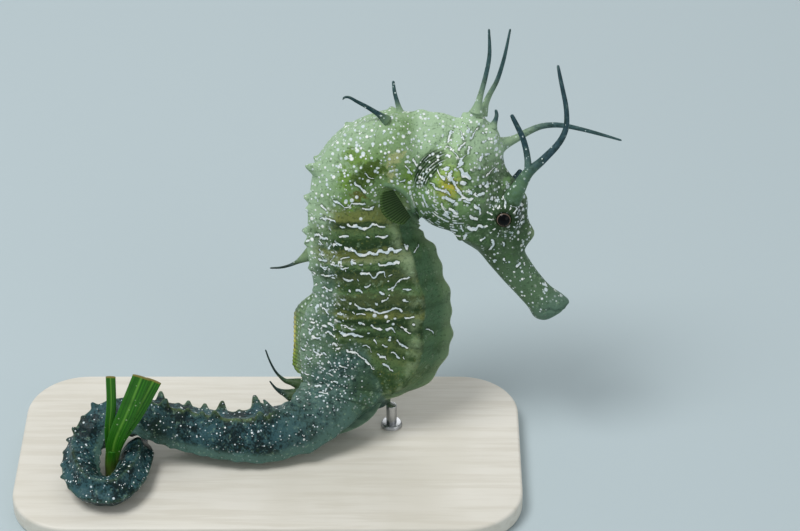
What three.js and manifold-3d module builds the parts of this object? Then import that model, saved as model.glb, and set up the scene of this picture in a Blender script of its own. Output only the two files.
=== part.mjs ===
// A long-snouted seahorse at life size, standing on its coiled tail beside cut seagrass, on a plain stand.
// Units are millimetres, +Z is up, and the origin is the middle of the stand's underside.
// The animal faces +X, its right side faces -Y, and its head and trunk lean back towards +Y.

import * as THREE from 'three';
import { mergeVertices } from 'three/addons/utils/BufferGeometryUtils.js';
import Module from 'manifold-3d';

const wasm = await Module();
wasm.setup();

// Driving dimensions

const clearance = 0.3;
const cutGap = 0.45;
const standLength = 76;
const standDepth = 37;
const standThickness = 3;
const standCorner = 9;
const rodRadius = 0.8;
const rodForward = 7.4;
const rodTop = 6.9;

const trunkFoot = new THREE.Vector3(11, 5, standThickness);
const leanAngle = THREE.MathUtils.degToRad(15);

const trunkRingPitch = 3.7;
const tailRingPitch = 2.9;
const tailPitchLoss = 0.0265;
const firstRingPastVent = 0.8;
const tailRings = 38;
const largeTailRings = [6, 8, 12, 16, 18, 21];
const bareTailRings = [0, 1, 2, 3, 7, 11];
const trunkSpines = new Map([[-9, 1.6], [-8, 0.9], [-7, 0.9]]);
const shoulderRing = -9.5;
const waistRing = -5;
const tailCuts = [-0.75, 4.5, 10.5, 17.5, 25.5, tailRings];

const eyeRadius = 1.45;
const eyePlace = [24.0, 35.3, 3.1];
const orbitRadius = 2.9;

const skinGreen = 0x5f6f43;
const trunkOlive = 0x6a7440;
const tailSlate = 0x3c4a48;
const feelerSlate = 0x34434a;
const finGreen = 0x4a5a30;
const eyeBlack = 0x0b0b0c;
const bladeGreen = 0x4f9a2a;
const standCream = 0xd9d4c8;
const rodSteel = 0xb4b6b8;

// A section runs from the back to the belly. Each landmark of half a section has an angle, a place along
// that line (1 at the back, -1 at the belly) and a share of the half width: the back's middle, the upper
// ridge, the side ridge, the lower ridge and the belly's middle.

const landmarkAngles = [0, 30, 75, 135, 180];

const profiles = {
  snout: { along: [1, 0.86, 0.26, -0.72, -1], across: [0, 0.52, 1, 0.7, 0] },
  head: { along: [1, 0.78, 0.1, -0.62, -1], across: [0, 0.4, 0.92, 0.9, 0] },
  trunk: { along: [0.97, 1, 0.46, -0.55, -1], across: [0, 0.52, 1, 0.74, 0.07] },
  tail: { along: [0.86, 1, 0.05, -1, -0.88], across: [0, 0.78, 1, 0.78, 0] },
};

// Sections of the head and trunk in the leaning plane of the body: forward and height of the back's
// outline, forward and height of the belly's outline, half width, the profile the section has, and how
// far it is turned out of that plane to the right.

const bodySections = [
  ['mouth', 33.5, 20.1, 31.7, 19.2, 0.9, 'snout'],
  ['lip', 34.2, 20.9, 30.4, 18.1, 1.9, 'snout'],
  ['lipRear', 33.3, 21.9, 29.0, 18.5, 2.2, 'snout'],
  ['snoutFore', 31.5, 23.2, 28.0, 20.1, 2.1, 'snout'],
  ['snoutMiddle', 29.9, 25.0, 26.2, 22.2, 2.0, 'snout'],
  ['snoutRear', 28.3, 27.3, 24.3, 24.3, 2.1, 'snout'],
  ['snoutBase', 27.4, 29.2, 22.2, 26.8, 2.5, 'snout'],
  ['noseSpine', 28.4, 31.2, 20.2, 29.2, 3.0, 'head'],
  ['eyeLower', 28.2, 32.7, 18.0, 30.7, 3.4, 'head'],
  ['eyeMiddle', 27.7, 34.8, 16.2, 32.3, 3.7, 'head'],
  ['eyeUpper', 27.6, 37.4, 14.3, 32.9, 3.8, 'head'],
  ['brow', 26.0, 39.9, 13.0, 33.5, 3.9, 'head'],
  ['forehead', 24.3, 42.3, 12.2, 34.2, 4.1, 'head'],
  ['frontSpine', 23.8, 45.4, 12.0, 34.35, 4.2, 'head'],
  ['crown', 23.0, 48.0, 11.87, 34.4, 4.3, 'head'],
  ['coronetFoot', 21.2, 49.6, 11.77, 34.4, 4.4, 'head'],
  ['coronet', 19.6, 51.0, 11.69, 34.34, 4.5, 'head'],
  ['coronetRear', 17.5, 49.8, 11.62, 34.26, 4.5, 'head'],
  ['gill', 14.9, 50.5, 11.56, 34.15, 4.5, 'head'],
  ['nape', 11.5, 50.7, 11.52, 34.02, 4.4, 'head'],
  ['neckTop', 8.0, 50.7, 11.5, 33.88, 4.4, 'trunk'],
  ['neckBend', 4.8, 50.0, 11.5, 33.72, 4.5, 'trunk'],
  ['neckRear', 1.9, 48.7, 11.5, 33.55, 4.6, 'trunk'],
  ['shoulderTop', -0.9, 46.7, 11.52, 33.35, 4.7, 'trunk'],
  ['shoulder', -3.0, 44.0, 11.56, 33.1, 4.8, 'trunk'],
  ['shoulderRear', -4.2, 41.0, 11.62, 32.8, 4.9, 'trunk'],
  ['chestTop', -4.7, 37.8, 11.8, 32.3, 5.0, 'trunk'],
  ['chest', -5.0, 33.8, 12.6, 31.2, 5.1, 'trunk'],
  ['ribs', -5.1, 30.0, 14.2, 29.2, 5.2, 'trunk'],
  ['belly', -4.5, 26.4, 15.1, 25.8, 5.2, 'trunk'],
  ['waist', -4.2, 22.6, 16.4, 21.6, 5.1, 'trunk'],
  ['finFront', -5.7, 19.4, 16.4, 18.4, 5.0, 'trunk'],
  ['finMiddle', -6.3, 15.6, 16.6, 14.9, 4.9, 'trunk'],
  ['keelLower', -6.3, 12.4, 15.7, 11.9, 4.8, 'trunk'],
  ['keelFoot', -6.2, 10.4, 14.0, 8.9, 4.7, 'trunk', 0.05],
  ['keelEnd', -6.1, 8.9, 11.9, 6.9, 4.6, 'trunk', 0.2],
  ['vent', -6.1, 7.9, 9.2, 6.0, 4.5, 'trunk', 0.45],
  ['ventRear', -6.4, 7.1, 7.3, 5.5, 4.5, 'tail', 0.85],
  ['tailRoot', -6.8, 6.6, 5.5, 4.9, 4.5, 'tail', 1.4],
  ['tailTurn', -7.3, 6.3, 3.6, 3.6, 4.6, 'tail', 2.1],
  ['tailLower', -8.0, 6.2, 1.2, 2.2, 4.6, 'tail', 3.2],
  ['tailLowest', -8.8, 5.9, -1.6, 0.7, 4.5, 'tail', 4.3],
  ['tailLevel', -9.9, 5.8, -4.4, -0.4, 4.3, 'tail', 5.4],
  ['tailFlat', -11.2, 5.5, -7.6, -0.9, 4.1, 'tail', 6.1],
];

// The tail's middle line from the foot of the trunk, with half its depth and half its width.

const tailSections = [
  [-11.7, -6.05, 3.8, 3.6, 3.85],
  [-15.6, -6.45, 3.7, 3.25, 3.5],
  [-20.7, -5.9, 3.95, 3.05, 3.2],
  [-25.2, -5.6, 5.0, 2.95, 3.0],
  [-28.9, -5.7, 6.25, 2.8, 2.9],
  [-32.2, -5.65, 6.75, 2.65, 2.75],
  [-35.3, -6.1, 5.9, 2.55, 2.6],
  [-37.5, -7.7, 5.0, 2.4, 2.45],
  [-38.7, -10.6, 3.9, 2.3, 2.35],
  [-38.6, -14.0, 3.0, 2.2, 2.25],
  [-36.8, -17.3, 2.65, 2.15, 2.15],
  [-33.7, -17.9, 2.6, 2.1, 2.1],
  [-31.6, -14.9, 2.6, 2.05, 2.1],
  [-30.95, -11.9, 2.4, 1.85, 1.9],
  [-30.75, -9.2, 2.2, 1.75, 1.85],
  [-30.65, -7.1, 1.65, 1.35, 1.5],
  [-30.5, -5.2, 1.2, 0.85, 0.95],
  [-30.2, -3.4, 0.9, 0.5, 0.55],
];
const tailCoilStart = 2.5;
const tailCoilFull = 6.5;
const stemPlace = new THREE.Vector3(-34.55, -11.4, 0);

// The leaning plane: forward, height along the lean, and side, positive towards the animal's right.

const leanUp = new THREE.Vector3(0, Math.sin(leanAngle), Math.cos(leanAngle));
const leanSide = new THREE.Vector3(0, -Math.cos(leanAngle), Math.sin(leanAngle));

function inBody(forward, height, side = 0) {
  return trunkFoot.clone()
    .add(new THREE.Vector3(forward, 0, 0))
    .addScaledVector(leanUp, height)
    .addScaledVector(leanSide, side);
}

// Stations of the whole animal: the outline points of back and belly, half width and profile values.

function bodyStation(section) {
  const [, backForward, backHeight, bellyForward, bellyHeight, halfWidth, profileName, turn = 0] = section;
  return {
    back: inBody(backForward, backHeight, turn),
    belly: inBody(bellyForward, bellyHeight, turn),
    halfWidth,
    profile: profiles[profileName],
  };
}

function tailStation([x, y, z, halfDepth, halfWidth], index) {
  const centre = trunkFoot.clone().add(new THREE.Vector3(x, y, z));
  const before = tailSections[Math.max(index - 1, 0)];
  const after = tailSections[Math.min(index + 1, tailSections.length - 1)];
  const heading = new THREE.Vector3(after[0] - before[0], after[1] - before[1], after[2] - before[2]);
  heading.normalize();
  const outward = new THREE.Vector3(x - stemPlace.x, y - stemPlace.y, 0).normalize();
  const coil = 0.8 * THREE.MathUtils.smoothstep(index, tailCoilStart, tailCoilFull);
  const fromTrunk = 1 - THREE.MathUtils.smoothstep(index, -1, 2);
  const lean = THREE.MathUtils.lerp(0.5, 0.27, fromTrunk) * (1 - coil);
  const dorsal = new THREE.Vector3(-0.4 * fromTrunk, lean, 1 - 0.6 * coil);
  dorsal.addScaledVector(outward, coil);
  dorsal.addScaledVector(heading, -dorsal.dot(heading)).normalize();
  return {
    back: centre.clone().addScaledVector(dorsal, halfDepth),
    belly: centre.clone().addScaledVector(dorsal, -halfDepth),
    halfWidth,
    profile: profiles.tail,
  };
}

const stations = [...bodySections.map(bodyStation), ...tailSections.map(tailStation)];
const lastStation = stations.length - 1;
const backCurve = new THREE.CatmullRomCurve3(stations.map((s) => s.back), false, 'centripetal');
const bellyCurve = new THREE.CatmullRomCurve3(stations.map((s) => s.belly), false, 'centripetal');

function stationIndex(name) {
  return bodySections.findIndex((section) => section[0] === name);
}

function middleAt(place) {
  const along = THREE.MathUtils.clamp(place / lastStation, 0, 1);
  return backCurve.getPoint(along).add(bellyCurve.getPoint(along)).multiplyScalar(0.5);
}

// The frame of the section at a place along the body, counted in stations.

function sectionAt(place) {
  const along = THREE.MathUtils.clamp(place / lastStation, 0, 1);
  const back = backCurve.getPoint(along);
  const belly = bellyCurve.getPoint(along);
  const heading = middleAt(place + 0.02).sub(middleAt(place - 0.02));
  const dorsal = back.clone().sub(belly);
  const halfDepth = dorsal.length() / 2;
  dorsal.normalize();
  const side = dorsal.clone().cross(heading).normalize();
  const first = Math.min(Math.floor(place), lastStation - 1);
  const blend = THREE.MathUtils.smoothstep(place - first, 0, 1);
  const from = stations[first];
  const to = stations[first + 1];
  const mix = (key) => from.profile[key].map((value, i) => (
    THREE.MathUtils.lerp(value, to.profile[key][i], blend)
  ));
  return {
    centre: back.add(belly).multiplyScalar(0.5),
    dorsal,
    side,
    halfDepth,
    halfWidth: THREE.MathUtils.lerp(from.halfWidth, to.halfWidth, place - first),
    along: mix('along'),
    across: mix('across'),
  };
}

// Length along the middle line, in a table from which a ring's place is read back.

const tableStep = 0.05;
const lengthTable = [0];
for (let place = tableStep; place <= lastStation + 1e-6; place += tableStep) {
  const step = middleAt(place).distanceTo(middleAt(place - tableStep));
  lengthTable.push(lengthTable[lengthTable.length - 1] + step);
}

function lengthAtPlace(place) {
  return lengthTable[Math.round(place / tableStep)];
}

function placeAtLength(length) {
  let index = lengthTable.findIndex((value) => value >= length);
  if (index < 0) {
    index = lengthTable.length - 1;
  }
  index = Math.max(index, 1);
  const before = lengthTable[index - 1];
  const share = (length - before) / Math.max(lengthTable[index] - before, 1e-9);
  return Math.min((index - 1 + share) * tableStep, lastStation);
}

// Rings are counted from the vent: below zero on the trunk and neck, above zero on the tail.

const ventLength = lengthAtPlace(stationIndex('vent')) + firstRingPastVent;

function placeOfRing(ring) {
  const length = ring < 0 ? trunkRingPitch * ring : tailRingPitch * ring - tailPitchLoss * ring * ring;
  return placeAtLength(ventLength + length);
}

// How far a ridge stands out where it crosses a ring.

function spineHeight(ring, angle) {
  if (!Number.isInteger(ring)) {
    return 0;
  }
  const onTail = ring > 0;
  const size = onTail ? 1 - 0.75 * (ring / tailRings) : 1;
  if (angle === 30 && onTail) {
    const coil = THREE.MathUtils.smoothstep(ring, 12, 16);
    const small = bareTailRings.includes(ring) ? 0.15 : THREE.MathUtils.lerp(0.75, 0.3, coil);
    return size * (largeTailRings.includes(ring) ? THREE.MathUtils.lerp(1.9, 1.2, coil) : small);
  }
  if (angle === 30) {
    return trunkSpines.get(ring) ?? 0.3;
  }
  if (angle === 75) {
    return onTail ? 0 : 0.35;
  }
  if (angle === 135) {
    return size * 0.35;
  }
  return 0;
}

function profileValue(values, angle) {
  let index = 1;
  while (landmarkAngles[index] < angle) {
    index += 1;
  }
  const share = (angle - landmarkAngles[index - 1]) / (landmarkAngles[index] - landmarkAngles[index - 1]);
  return THREE.MathUtils.lerp(values[index - 1], values[index], share);
}

// A round form between landmarks is fuller than straight lines between them.

function roundness(place) {
  const flatFrom = stationIndex('neckTop');
  const flatTo = stationIndex('shoulder');
  return 1 - 0.85 * THREE.MathUtils.smoothstep(place, flatFrom, flatTo);
}

function bulge(angle, place) {
  let index = 1;
  while (landmarkAngles[index] < angle) {
    index += 1;
  }
  const share = (angle - landmarkAngles[index - 1]) / (landmarkAngles[index] - landmarkAngles[index - 1]);
  return 1 + 0.2 * roundness(place) * share * (1 - share) * 4;
}

// A point of the body's surface: place along it, ring there if any, angle from the back, and side.
// Where the tail lies on the stand it is flat.

function surfacePoint(place, ring, angle, sideSign) {
  const section = sectionAt(place);
  const full = bulge(angle, place);
  const up = profileValue(section.along, angle) * section.halfDepth;
  const out = profileValue(section.across, angle) * section.halfWidth * sideSign;
  const radial = section.dorsal.clone().multiplyScalar(up * (angle > 75 ? 1 : full) / full);
  radial.addScaledVector(section.side, out * full);
  const reach = radial.length();
  const spine = spineHeight(ring, angle);
  const point = section.centre.addScaledVector(radial, (reach + spine) / Math.max(reach, 1e-6));
  const sunk = standThickness + clearance - point.z;
  if (sunk > 0) {
    point.addScaledVector(section.dorsal, sunk / section.dorsal.z);
  }
  return point;
}

// Solids

function closedGeometry(geometry) {
  geometry.deleteAttribute('normal');
  geometry.deleteAttribute('uv');
  const merged = mergeVertices(geometry, 1e-4);
  const position = merged.attributes.position;
  const index = merged.index;
  const [a, b, c] = [new THREE.Vector3(), new THREE.Vector3(), new THREE.Vector3()];
  let volume = 0;
  for (let i = 0; i < index.count; i += 3) {
    a.fromBufferAttribute(position, index.getX(i));
    b.fromBufferAttribute(position, index.getX(i + 1));
    c.fromBufferAttribute(position, index.getX(i + 2));
    volume += a.dot(b.cross(c));
  }
  if (volume < 0) {
    for (let i = 0; i < index.count; i += 3) {
      const kept = index.getX(i);
      index.setX(i, index.getX(i + 1));
      index.setX(i + 1, kept);
    }
  }
  return merged;
}

// A cylinder's rows and columns carried to the points that a function gives for them.

function loft(rowCount, columnCount, pointAt, centreAt) {
  const geometry = new THREE.CylinderGeometry(1, 1, 1, columnCount, rowCount);
  const position = geometry.attributes.position;
  for (let i = 0; i < position.count; i += 1) {
    const row = Math.round((0.5 - position.getY(i)) * rowCount);
    const turn = Math.atan2(position.getX(i), position.getZ(i)) / (2 * Math.PI);
    const column = (Math.round(turn * columnCount) + columnCount) % columnCount;
    const onAxis = Math.hypot(position.getX(i), position.getZ(i)) < 0.5;
    const point = onAxis ? centreAt(row) : pointAt(row, column);
    position.setXYZ(i, point.x, point.y, point.z);
  }
  return closedGeometry(geometry);
}

const fineAngles = [0, 30, 52, 75, 95, 115, 135, 158, 180];

function bodyPiece(rows, halfAngles) {
  const columnCount = 2 * (halfAngles.length - 1);
  const pointAt = (row, column) => {
    const mirrored = column >= halfAngles.length;
    const angle = halfAngles[mirrored ? columnCount - column : column];
    return surfacePoint(rows[row].place, rows[row].ring, angle, mirrored ? -1 : 1);
  };
  return loft(rows.length - 1, columnCount, pointAt, (row) => sectionAt(rows[row].place).centre);
}

// Rows of a piece: its two ends are drawn in by half the gap of a cut.

function trimmedRows(rows) {
  const lengthOf = (place) => {
    const index = Math.floor(place / tableStep);
    const share = place / tableStep - index;
    const next = lengthTable[Math.min(index + 1, lengthTable.length - 1)];
    return THREE.MathUtils.lerp(lengthTable[index], next, share);
  };
  const first = lengthOf(rows[0].place) + cutGap / 2;
  const last = lengthOf(rows[rows.length - 1].place) - cutGap / 2;
  const inner = rows.slice(1, -1).filter((row) => {
    const length = lengthOf(row.place);
    return length > first + 0.15 && length < last - 0.15;
  });
  const ends = [first, last].map((length) => ({ place: placeAtLength(length), ring: null }));
  return [ends[0], ...inner, ends[1]];
}

function stationRows(fromName, toName, perStation) {
  const rows = [];
  const from = stationIndex(fromName);
  const to = stationIndex(toName);
  for (let step = 0; step <= (to - from) * perStation; step += 1) {
    rows.push({ place: from + step / perStation, ring: null });
  }
  return rows;
}

function ringRows(fromRing, toRing) {
  const next = Math.ceil(2 * fromRing + 1e-6) / 2;
  const rows = [{ place: placeOfRing(fromRing), ring: null }];
  for (let ring = next; ring <= toRing - 1e-6; ring += 0.5) {
    rows.push({ place: placeOfRing(ring), ring });
  }
  rows.push({ place: placeOfRing(toRing), ring: null });
  return rows;
}

function toManifold(geometry) {
  return new wasm.Manifold(new wasm.Mesh({
    numProp: 3,
    vertProperties: new Float32Array(geometry.attributes.position.array),
    triVerts: new Uint32Array(geometry.index.array),
  }));
}

function fromManifold(solid) {
  const mesh = solid.getMesh();
  const geometry = new THREE.BufferGeometry();
  geometry.setAttribute('position', new THREE.BufferAttribute(new Float32Array(mesh.vertProperties), 3));
  geometry.setIndex(new THREE.BufferAttribute(new Uint32Array(mesh.triVerts), 1));
  return geometry;
}

// A tapered feeler or blade along a smooth line: half width and half thickness at its root and tip.

function taperedLine(points, root, tip, { flat = 1, columns = 7, rows = 10 } = {}) {
  const curve = new THREE.CatmullRomCurve3(points, false, 'centripetal');
  const frames = curve.computeFrenetFrames(rows, false);
  const centres = curve.getSpacedPoints(rows);
  const pointAt = (row, column) => {
    const angle = (2 * Math.PI * column) / columns;
    const radius = THREE.MathUtils.lerp(root, tip, row / rows);
    return centres[row].clone()
      .addScaledVector(frames.normals[row], radius * Math.cos(angle))
      .addScaledVector(frames.binormals[row], radius * flat * Math.sin(angle));
  };
  return loft(rows, columns, pointAt, (row) => centres[row]);
}

// A thin plate whose points come from a function of two shares, along and outward, and a thickness side.

function bentPlate(alongCount, outCount, pointAt) {
  const geometry = new THREE.BoxGeometry(1, 1, 1, alongCount, outCount, 1);
  const position = geometry.attributes.position;
  for (let i = 0; i < position.count; i += 1) {
    const point = pointAt(position.getX(i) + 0.5, position.getY(i) + 0.5, position.getZ(i) * 2);
    position.setXYZ(i, point.x, point.y, point.z);
  }
  return closedGeometry(geometry);
}

// Nodes

const seahorse = new THREE.Group();

function addNode(name, geometry, color, roughness = 0.6, metalness = 0) {
  const mesh = new THREE.Mesh(geometry, new THREE.MeshStandardMaterial({ color, roughness, metalness }));
  mesh.name = name;
  seahorse.add(mesh);
  return mesh;
}

// Head, with the raised rings round the eyes, the spines over them and a socket for each eye

function headSolid() {
  const rows = trimmedRows(stationRows('snoutBase', 'gill', 1.5));
  let solid = toManifold(bodyPiece(rows, fineAngles));
  for (const side of [1, -1]) {
    const [forward, height, out] = eyePlace;
    const eyeCentre = inBody(forward, height, side * out);
    const orbit = new THREE.SphereGeometry(orbitRadius, 16, 10);
    orbit.scale(1, 0.38, 1);
    orbit.rotateX(-leanAngle);
    orbit.translate(eyeCentre.x, eyeCentre.y, eyeCentre.z);
    solid = solid.add(toManifold(closedGeometry(orbit)));
    const spineLine = [
      inBody(25.3, 37.4, side * 1.9),
      inBody(26.0, 39.1, side * 2.3),
      inBody(26.6, 40.4, side * 2.4),
    ];
    solid = solid.add(toManifold(taperedLine(spineLine, 1.7, 1, { columns: 8, rows: 3 })));
    const socket = new THREE.SphereGeometry(eyeRadius + clearance, 16, 10);
    socket.translate(eyeCentre.x, eyeCentre.y, eyeCentre.z);
    solid = solid.subtract(toManifold(closedGeometry(socket)));
  }
  return fromManifold(solid);
}

addNode('snout', bodyPiece(trimmedRows(stationRows('mouth', 'snoutBase', 2)), fineAngles), skinGreen);
addNode('head', headSolid(), skinGreen);

const shoulderRow = { place: placeOfRing(shoulderRing), ring: null };
const neckRows = trimmedRows([...stationRows('gill', 'shoulder', 2), shoulderRow]);
addNode('neck', bodyPiece(neckRows, fineAngles), skinGreen);
addNode('trunk_upper', bodyPiece(trimmedRows(ringRows(shoulderRing, waistRing)), fineAngles), trunkOlive);
addNode('trunk_lower', bodyPiece(trimmedRows(ringRows(waistRing, tailCuts[0])), fineAngles), trunkOlive);

for (let i = 0; i < tailCuts.length - 1; i += 1) {
  const rows = trimmedRows(ringRows(tailCuts[i], tailCuts[i + 1]));
  addNode(`tail_${i + 1}`, bodyPiece(rows, landmarkAngles), tailSlate);
}

for (const [name, side] of [['eye_right', 1], ['eye_left', -1]]) {
  const eye = new THREE.SphereGeometry(eyeRadius, 16, 10);
  const centre = inBody(eyePlace[0], eyePlace[1], side * eyePlace[2]);
  eye.translate(centre.x, centre.y, centre.z);
  addNode(name, closedGeometry(eye), eyeBlack, 0.1);
}

// Feelers: name, radius at root and tip, then points in the body's plane (forward, height, side)

const feelers = [
  ['feeler_coronet_right', 0.5, 0.27, [[20.1, 51.9, 0.8], [20.4, 53.3, 0.9], [21.1, 56.0, 1.0],
    [21.7, 59.5, 1.0], [21.6, 63.6, 0.9]]],
  ['feeler_coronet_left', 0.45, 0.27, [[21.1, 51.1, -0.8], [21.7, 52.7, -1.0], [22.9, 55.0, -1.2],
    [23.9, 58.3, -1.3], [24.8, 63.0, -1.4]]],
  ['feeler_crown', 0.34, 0.26, [[22.7, 49.3, 0.2], [23.0, 50.0, 0.2], [22.7, 51.2, 0.2]]],
  ['feeler_forehead', 0.68, 0.27, [[24.6, 45.7, -1.0], [27.3, 47.0, -1.4], [29.2, 47.9, -1.6],
    [31.8, 48.2, -1.8], [36.2, 47.2, -1.9], [41.7, 45.5, -2.0]]],
  ['feeler_brow', 0.86, 0.27, [[26.95, 41.0, 2.4], [28.2, 42.7, 2.5], [30.5, 44.9, 2.6],
    [32.3, 47.3, 2.6], [33.1, 50.6, 2.5], [32.5, 54.4, 2.4], [31.6, 58.6, 2.4]]],
  ['feeler_nape_rear', 0.32, 0.26, [[5.7, 51.0, 2.4], [4.0, 52.1, 2.5], [2.4, 53.0, 2.5],
    [1.2, 53.7, 2.5], [0.3, 53.2, 2.5]]],
  ['feeler_nape_front', 0.32, 0.26, [[8.5, 51.4, -0.4], [8.1, 52.4, -0.4], [7.8, 54.0, -0.4],
    [7.7, 55.4, -0.4]]],
  ['feeler_back', 0.8, 0.26, [[-5.8, 28.1, 0.6], [-6.8, 27.5, 0.8], [-8.7, 26.8, 0.9],
    [-10.9, 26.6, 1.0]]],
  ['feeler_tail_upper', 0.6, 0.26, [[-7.3, 7.9, 0.5], [-8.9, 8.2, 0.5], [-10.2, 9.6, 0.5],
    [-11.7, 13.3, 0.5]]],
  ['feeler_tail_lower', 0.5, 0.26, [[-9.2, 6.7, 1.6], [-9.9, 7.0, 1.6], [-11.1, 8.6, 1.6]]],
];
for (const [name, root, tip, points] of feelers) {
  addNode(name, taperedLine(points.map((p) => inBody(...p)), root, tip), feelerSlate);
}
const browBranch = [[27.45, 43.95, 2.4], [27.2, 45.6, 2.4], [26.5, 48.1, 2.4], [24.95, 51.1, 2.4]];
addNode('feeler_brow_branch', taperedLine(browBranch.map((p) => inBody(...p)), 0.42, 0.33), feelerSlate);

// Fins

const finHalfThickness = 0.26;
const rootGap = clearance + finHalfThickness;

function pectoralFin(side) {
  const rootTop = [7.9, 40.3];
  const rootBottom = [10.1, 36.2];
  const rayLength = 3.1;
  return bentPlate(8, 4, (along, out, face) => {
    const heading = THREE.MathUtils.degToRad(THREE.MathUtils.lerp(186, 232, along));
    const length = rayLength * (0.55 + 0.45 * Math.sin(Math.PI * along)) * out;
    const forward = THREE.MathUtils.lerp(rootTop[0], rootBottom[0], along) + length * Math.cos(heading);
    const height = THREE.MathUtils.lerp(rootTop[1], rootBottom[1], along) + length * Math.sin(heading);
    return inBody(forward, height, side * (5.35 + 0.5 * out + finHalfThickness * face));
  });
}

addNode('pectoral_fin_right', pectoralFin(1), finGreen);
addNode('pectoral_fin_left', pectoralFin(-1), finGreen);

function dorsalFin() {
  const firstRing = -4.5;
  const lastRing = -0.7;
  const reach = 2.7;
  const away = leanSide.clone().multiplyScalar(-0.82).add(new THREE.Vector3(-0.57, 0, 0)).normalize();
  const faceWay = leanUp.clone().cross(away).normalize();
  return bentPlate(14, 4, (along, out, face) => {
    const place = placeOfRing(THREE.MathUtils.lerp(firstRing, lastRing, along));
    const root = surfacePoint(place, null, 0, 1).add(new THREE.Vector3(-rootGap, 0, 0));
    const rise = Math.min(1, 0.1 + along / 0.3) ** 0.7 * Math.min(1, 0.3 + (1 - along) / 0.12) ** 0.5;
    root.addScaledVector(away, out * reach * rise);
    return root.addScaledVector(faceWay, finHalfThickness * face);
  });
}

addNode('dorsal_fin', dorsalFin(), finGreen);

function analFin() {
  return bentPlate(6, 2, (along, out, face) => {
    const place = placeOfRing(THREE.MathUtils.lerp(0.6, 2.6, along));
    const section = sectionAt(place);
    const root = surfacePoint(place, null, 180, 1);
    root.addScaledVector(section.dorsal, -rootGap - out * (0.3 + 0.9 * Math.sin(Math.PI * along)));
    return root.addScaledVector(section.side, finHalfThickness * face);
  });
}

addNode('anal_fin', analFin(), finGreen);

// Cut seagrass that the tail holds: a short sheath and the blades that grow from it

function seagrass() {
  const at = (x, y, z) => trunkFoot.clone().add(stemPlace).add(new THREE.Vector3(x, y, z));
  const sheath = [at(0, 0, 0.3), at(0.05, 0, 2.5), at(0.3, 0, 5)];
  const blades = [
    [[at(0.1, -0.1, 3), at(1.1, -0.4, 7), at(3.1, -0.5, 12.5), at(5.6, -0.3, 19)], 0.85, 1.35],
    [[at(0.3, 0.2, 3), at(1.9, 0.2, 7), at(4.4, 0.4, 12), at(7.2, 0.8, 17.5)], 0.8, 1.2],
    [[at(-0.2, 0.4, 3), at(0.1, 0.6, 8), at(0.7, 0.8, 13), at(0.9, 1.0, 18)], 0.7, 0.75],
  ];
  let solid = toManifold(taperedLine(sheath, 0.9, 0.85, { columns: 10, rows: 4 }));
  for (const [points, root, tip] of blades) {
    solid = solid.add(toManifold(bladeAlong(points, root, tip)));
  }
  return fromManifold(solid);
}

function bladeAlong(points, root, tip) {
  const curve = new THREE.CatmullRomCurve3(points, false, 'centripetal');
  const rows = 8;
  const columns = 8;
  const halfThickness = 0.3;
  const centres = curve.getSpacedPoints(rows);
  const pointAt = (row, column) => {
    const tangent = curve.getTangentAt(row / rows);
    const across = new THREE.Vector3(0, -1, 0).cross(tangent).normalize();
    const through = tangent.clone().cross(across).normalize();
    const angle = (2 * Math.PI * column) / columns;
    const width = THREE.MathUtils.lerp(root, tip, Math.min(1, (2 * row) / rows));
    return centres[row].clone()
      .addScaledVector(across, width * Math.cos(angle))
      .addScaledVector(through, halfThickness * Math.sin(angle));
  };
  return loft(rows, columns, pointAt, (row) => centres[row]);
}

addNode('perch_seagrass', seagrass(), bladeGreen);

// Stand: a flat base with round corners and one short rod up to the belly

function standBase() {
  const [x, y, r] = [standLength / 2, standDepth / 2, standCorner];
  const outline = new THREE.Shape();
  outline.moveTo(-x + r, -y);
  outline.lineTo(x - r, -y);
  outline.absarc(x - r, -y + r, r, -Math.PI / 2, 0);
  outline.lineTo(x, y - r);
  outline.absarc(x - r, y - r, r, 0, Math.PI / 2);
  outline.lineTo(-x + r, y);
  outline.absarc(-x + r, y - r, r, Math.PI / 2, Math.PI);
  outline.lineTo(-x, -y + r);
  outline.absarc(-x + r, -y + r, r, Math.PI, 1.5 * Math.PI);
  const options = { depth: standThickness, bevelEnabled: false, curveSegments: 8 };
  return new THREE.ExtrudeGeometry(outline, options);
}

addNode('stand_base', closedGeometry(standBase()), standCream);

const rodFoot = inBody(rodForward, rodTop - standThickness);
const rod = new THREE.CylinderGeometry(rodRadius, rodRadius, rodTop - standThickness, 20);
rod.rotateX(Math.PI / 2);
rod.translate(rodFoot.x, rodFoot.y, (rodTop + standThickness) / 2);
addNode('stand_rod', closedGeometry(rod), rodSteel, 0.3, 1);

export default seahorse;
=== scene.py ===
import math

import bmesh
import bpy
import numpy as np
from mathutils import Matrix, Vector


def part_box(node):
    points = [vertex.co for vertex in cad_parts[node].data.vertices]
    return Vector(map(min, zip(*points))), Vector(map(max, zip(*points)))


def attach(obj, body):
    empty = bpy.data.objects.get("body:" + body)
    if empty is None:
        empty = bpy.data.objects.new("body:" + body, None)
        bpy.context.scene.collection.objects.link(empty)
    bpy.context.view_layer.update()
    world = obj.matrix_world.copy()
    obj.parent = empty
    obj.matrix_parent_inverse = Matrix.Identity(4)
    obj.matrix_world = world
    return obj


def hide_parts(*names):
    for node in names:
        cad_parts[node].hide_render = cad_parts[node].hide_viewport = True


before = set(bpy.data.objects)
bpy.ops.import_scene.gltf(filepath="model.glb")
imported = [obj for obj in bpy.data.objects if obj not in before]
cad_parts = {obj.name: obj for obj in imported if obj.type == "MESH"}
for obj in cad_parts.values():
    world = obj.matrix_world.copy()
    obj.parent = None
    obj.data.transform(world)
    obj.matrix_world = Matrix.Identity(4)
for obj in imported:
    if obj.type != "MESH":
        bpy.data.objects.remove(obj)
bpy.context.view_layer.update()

# The maned seahorse on its stand: one skin over head, trunk and tail, with eyes, feelers, fins,
# the seagrass that the tail holds and the stand as pieces of their own. Sizes are in mm.

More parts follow.
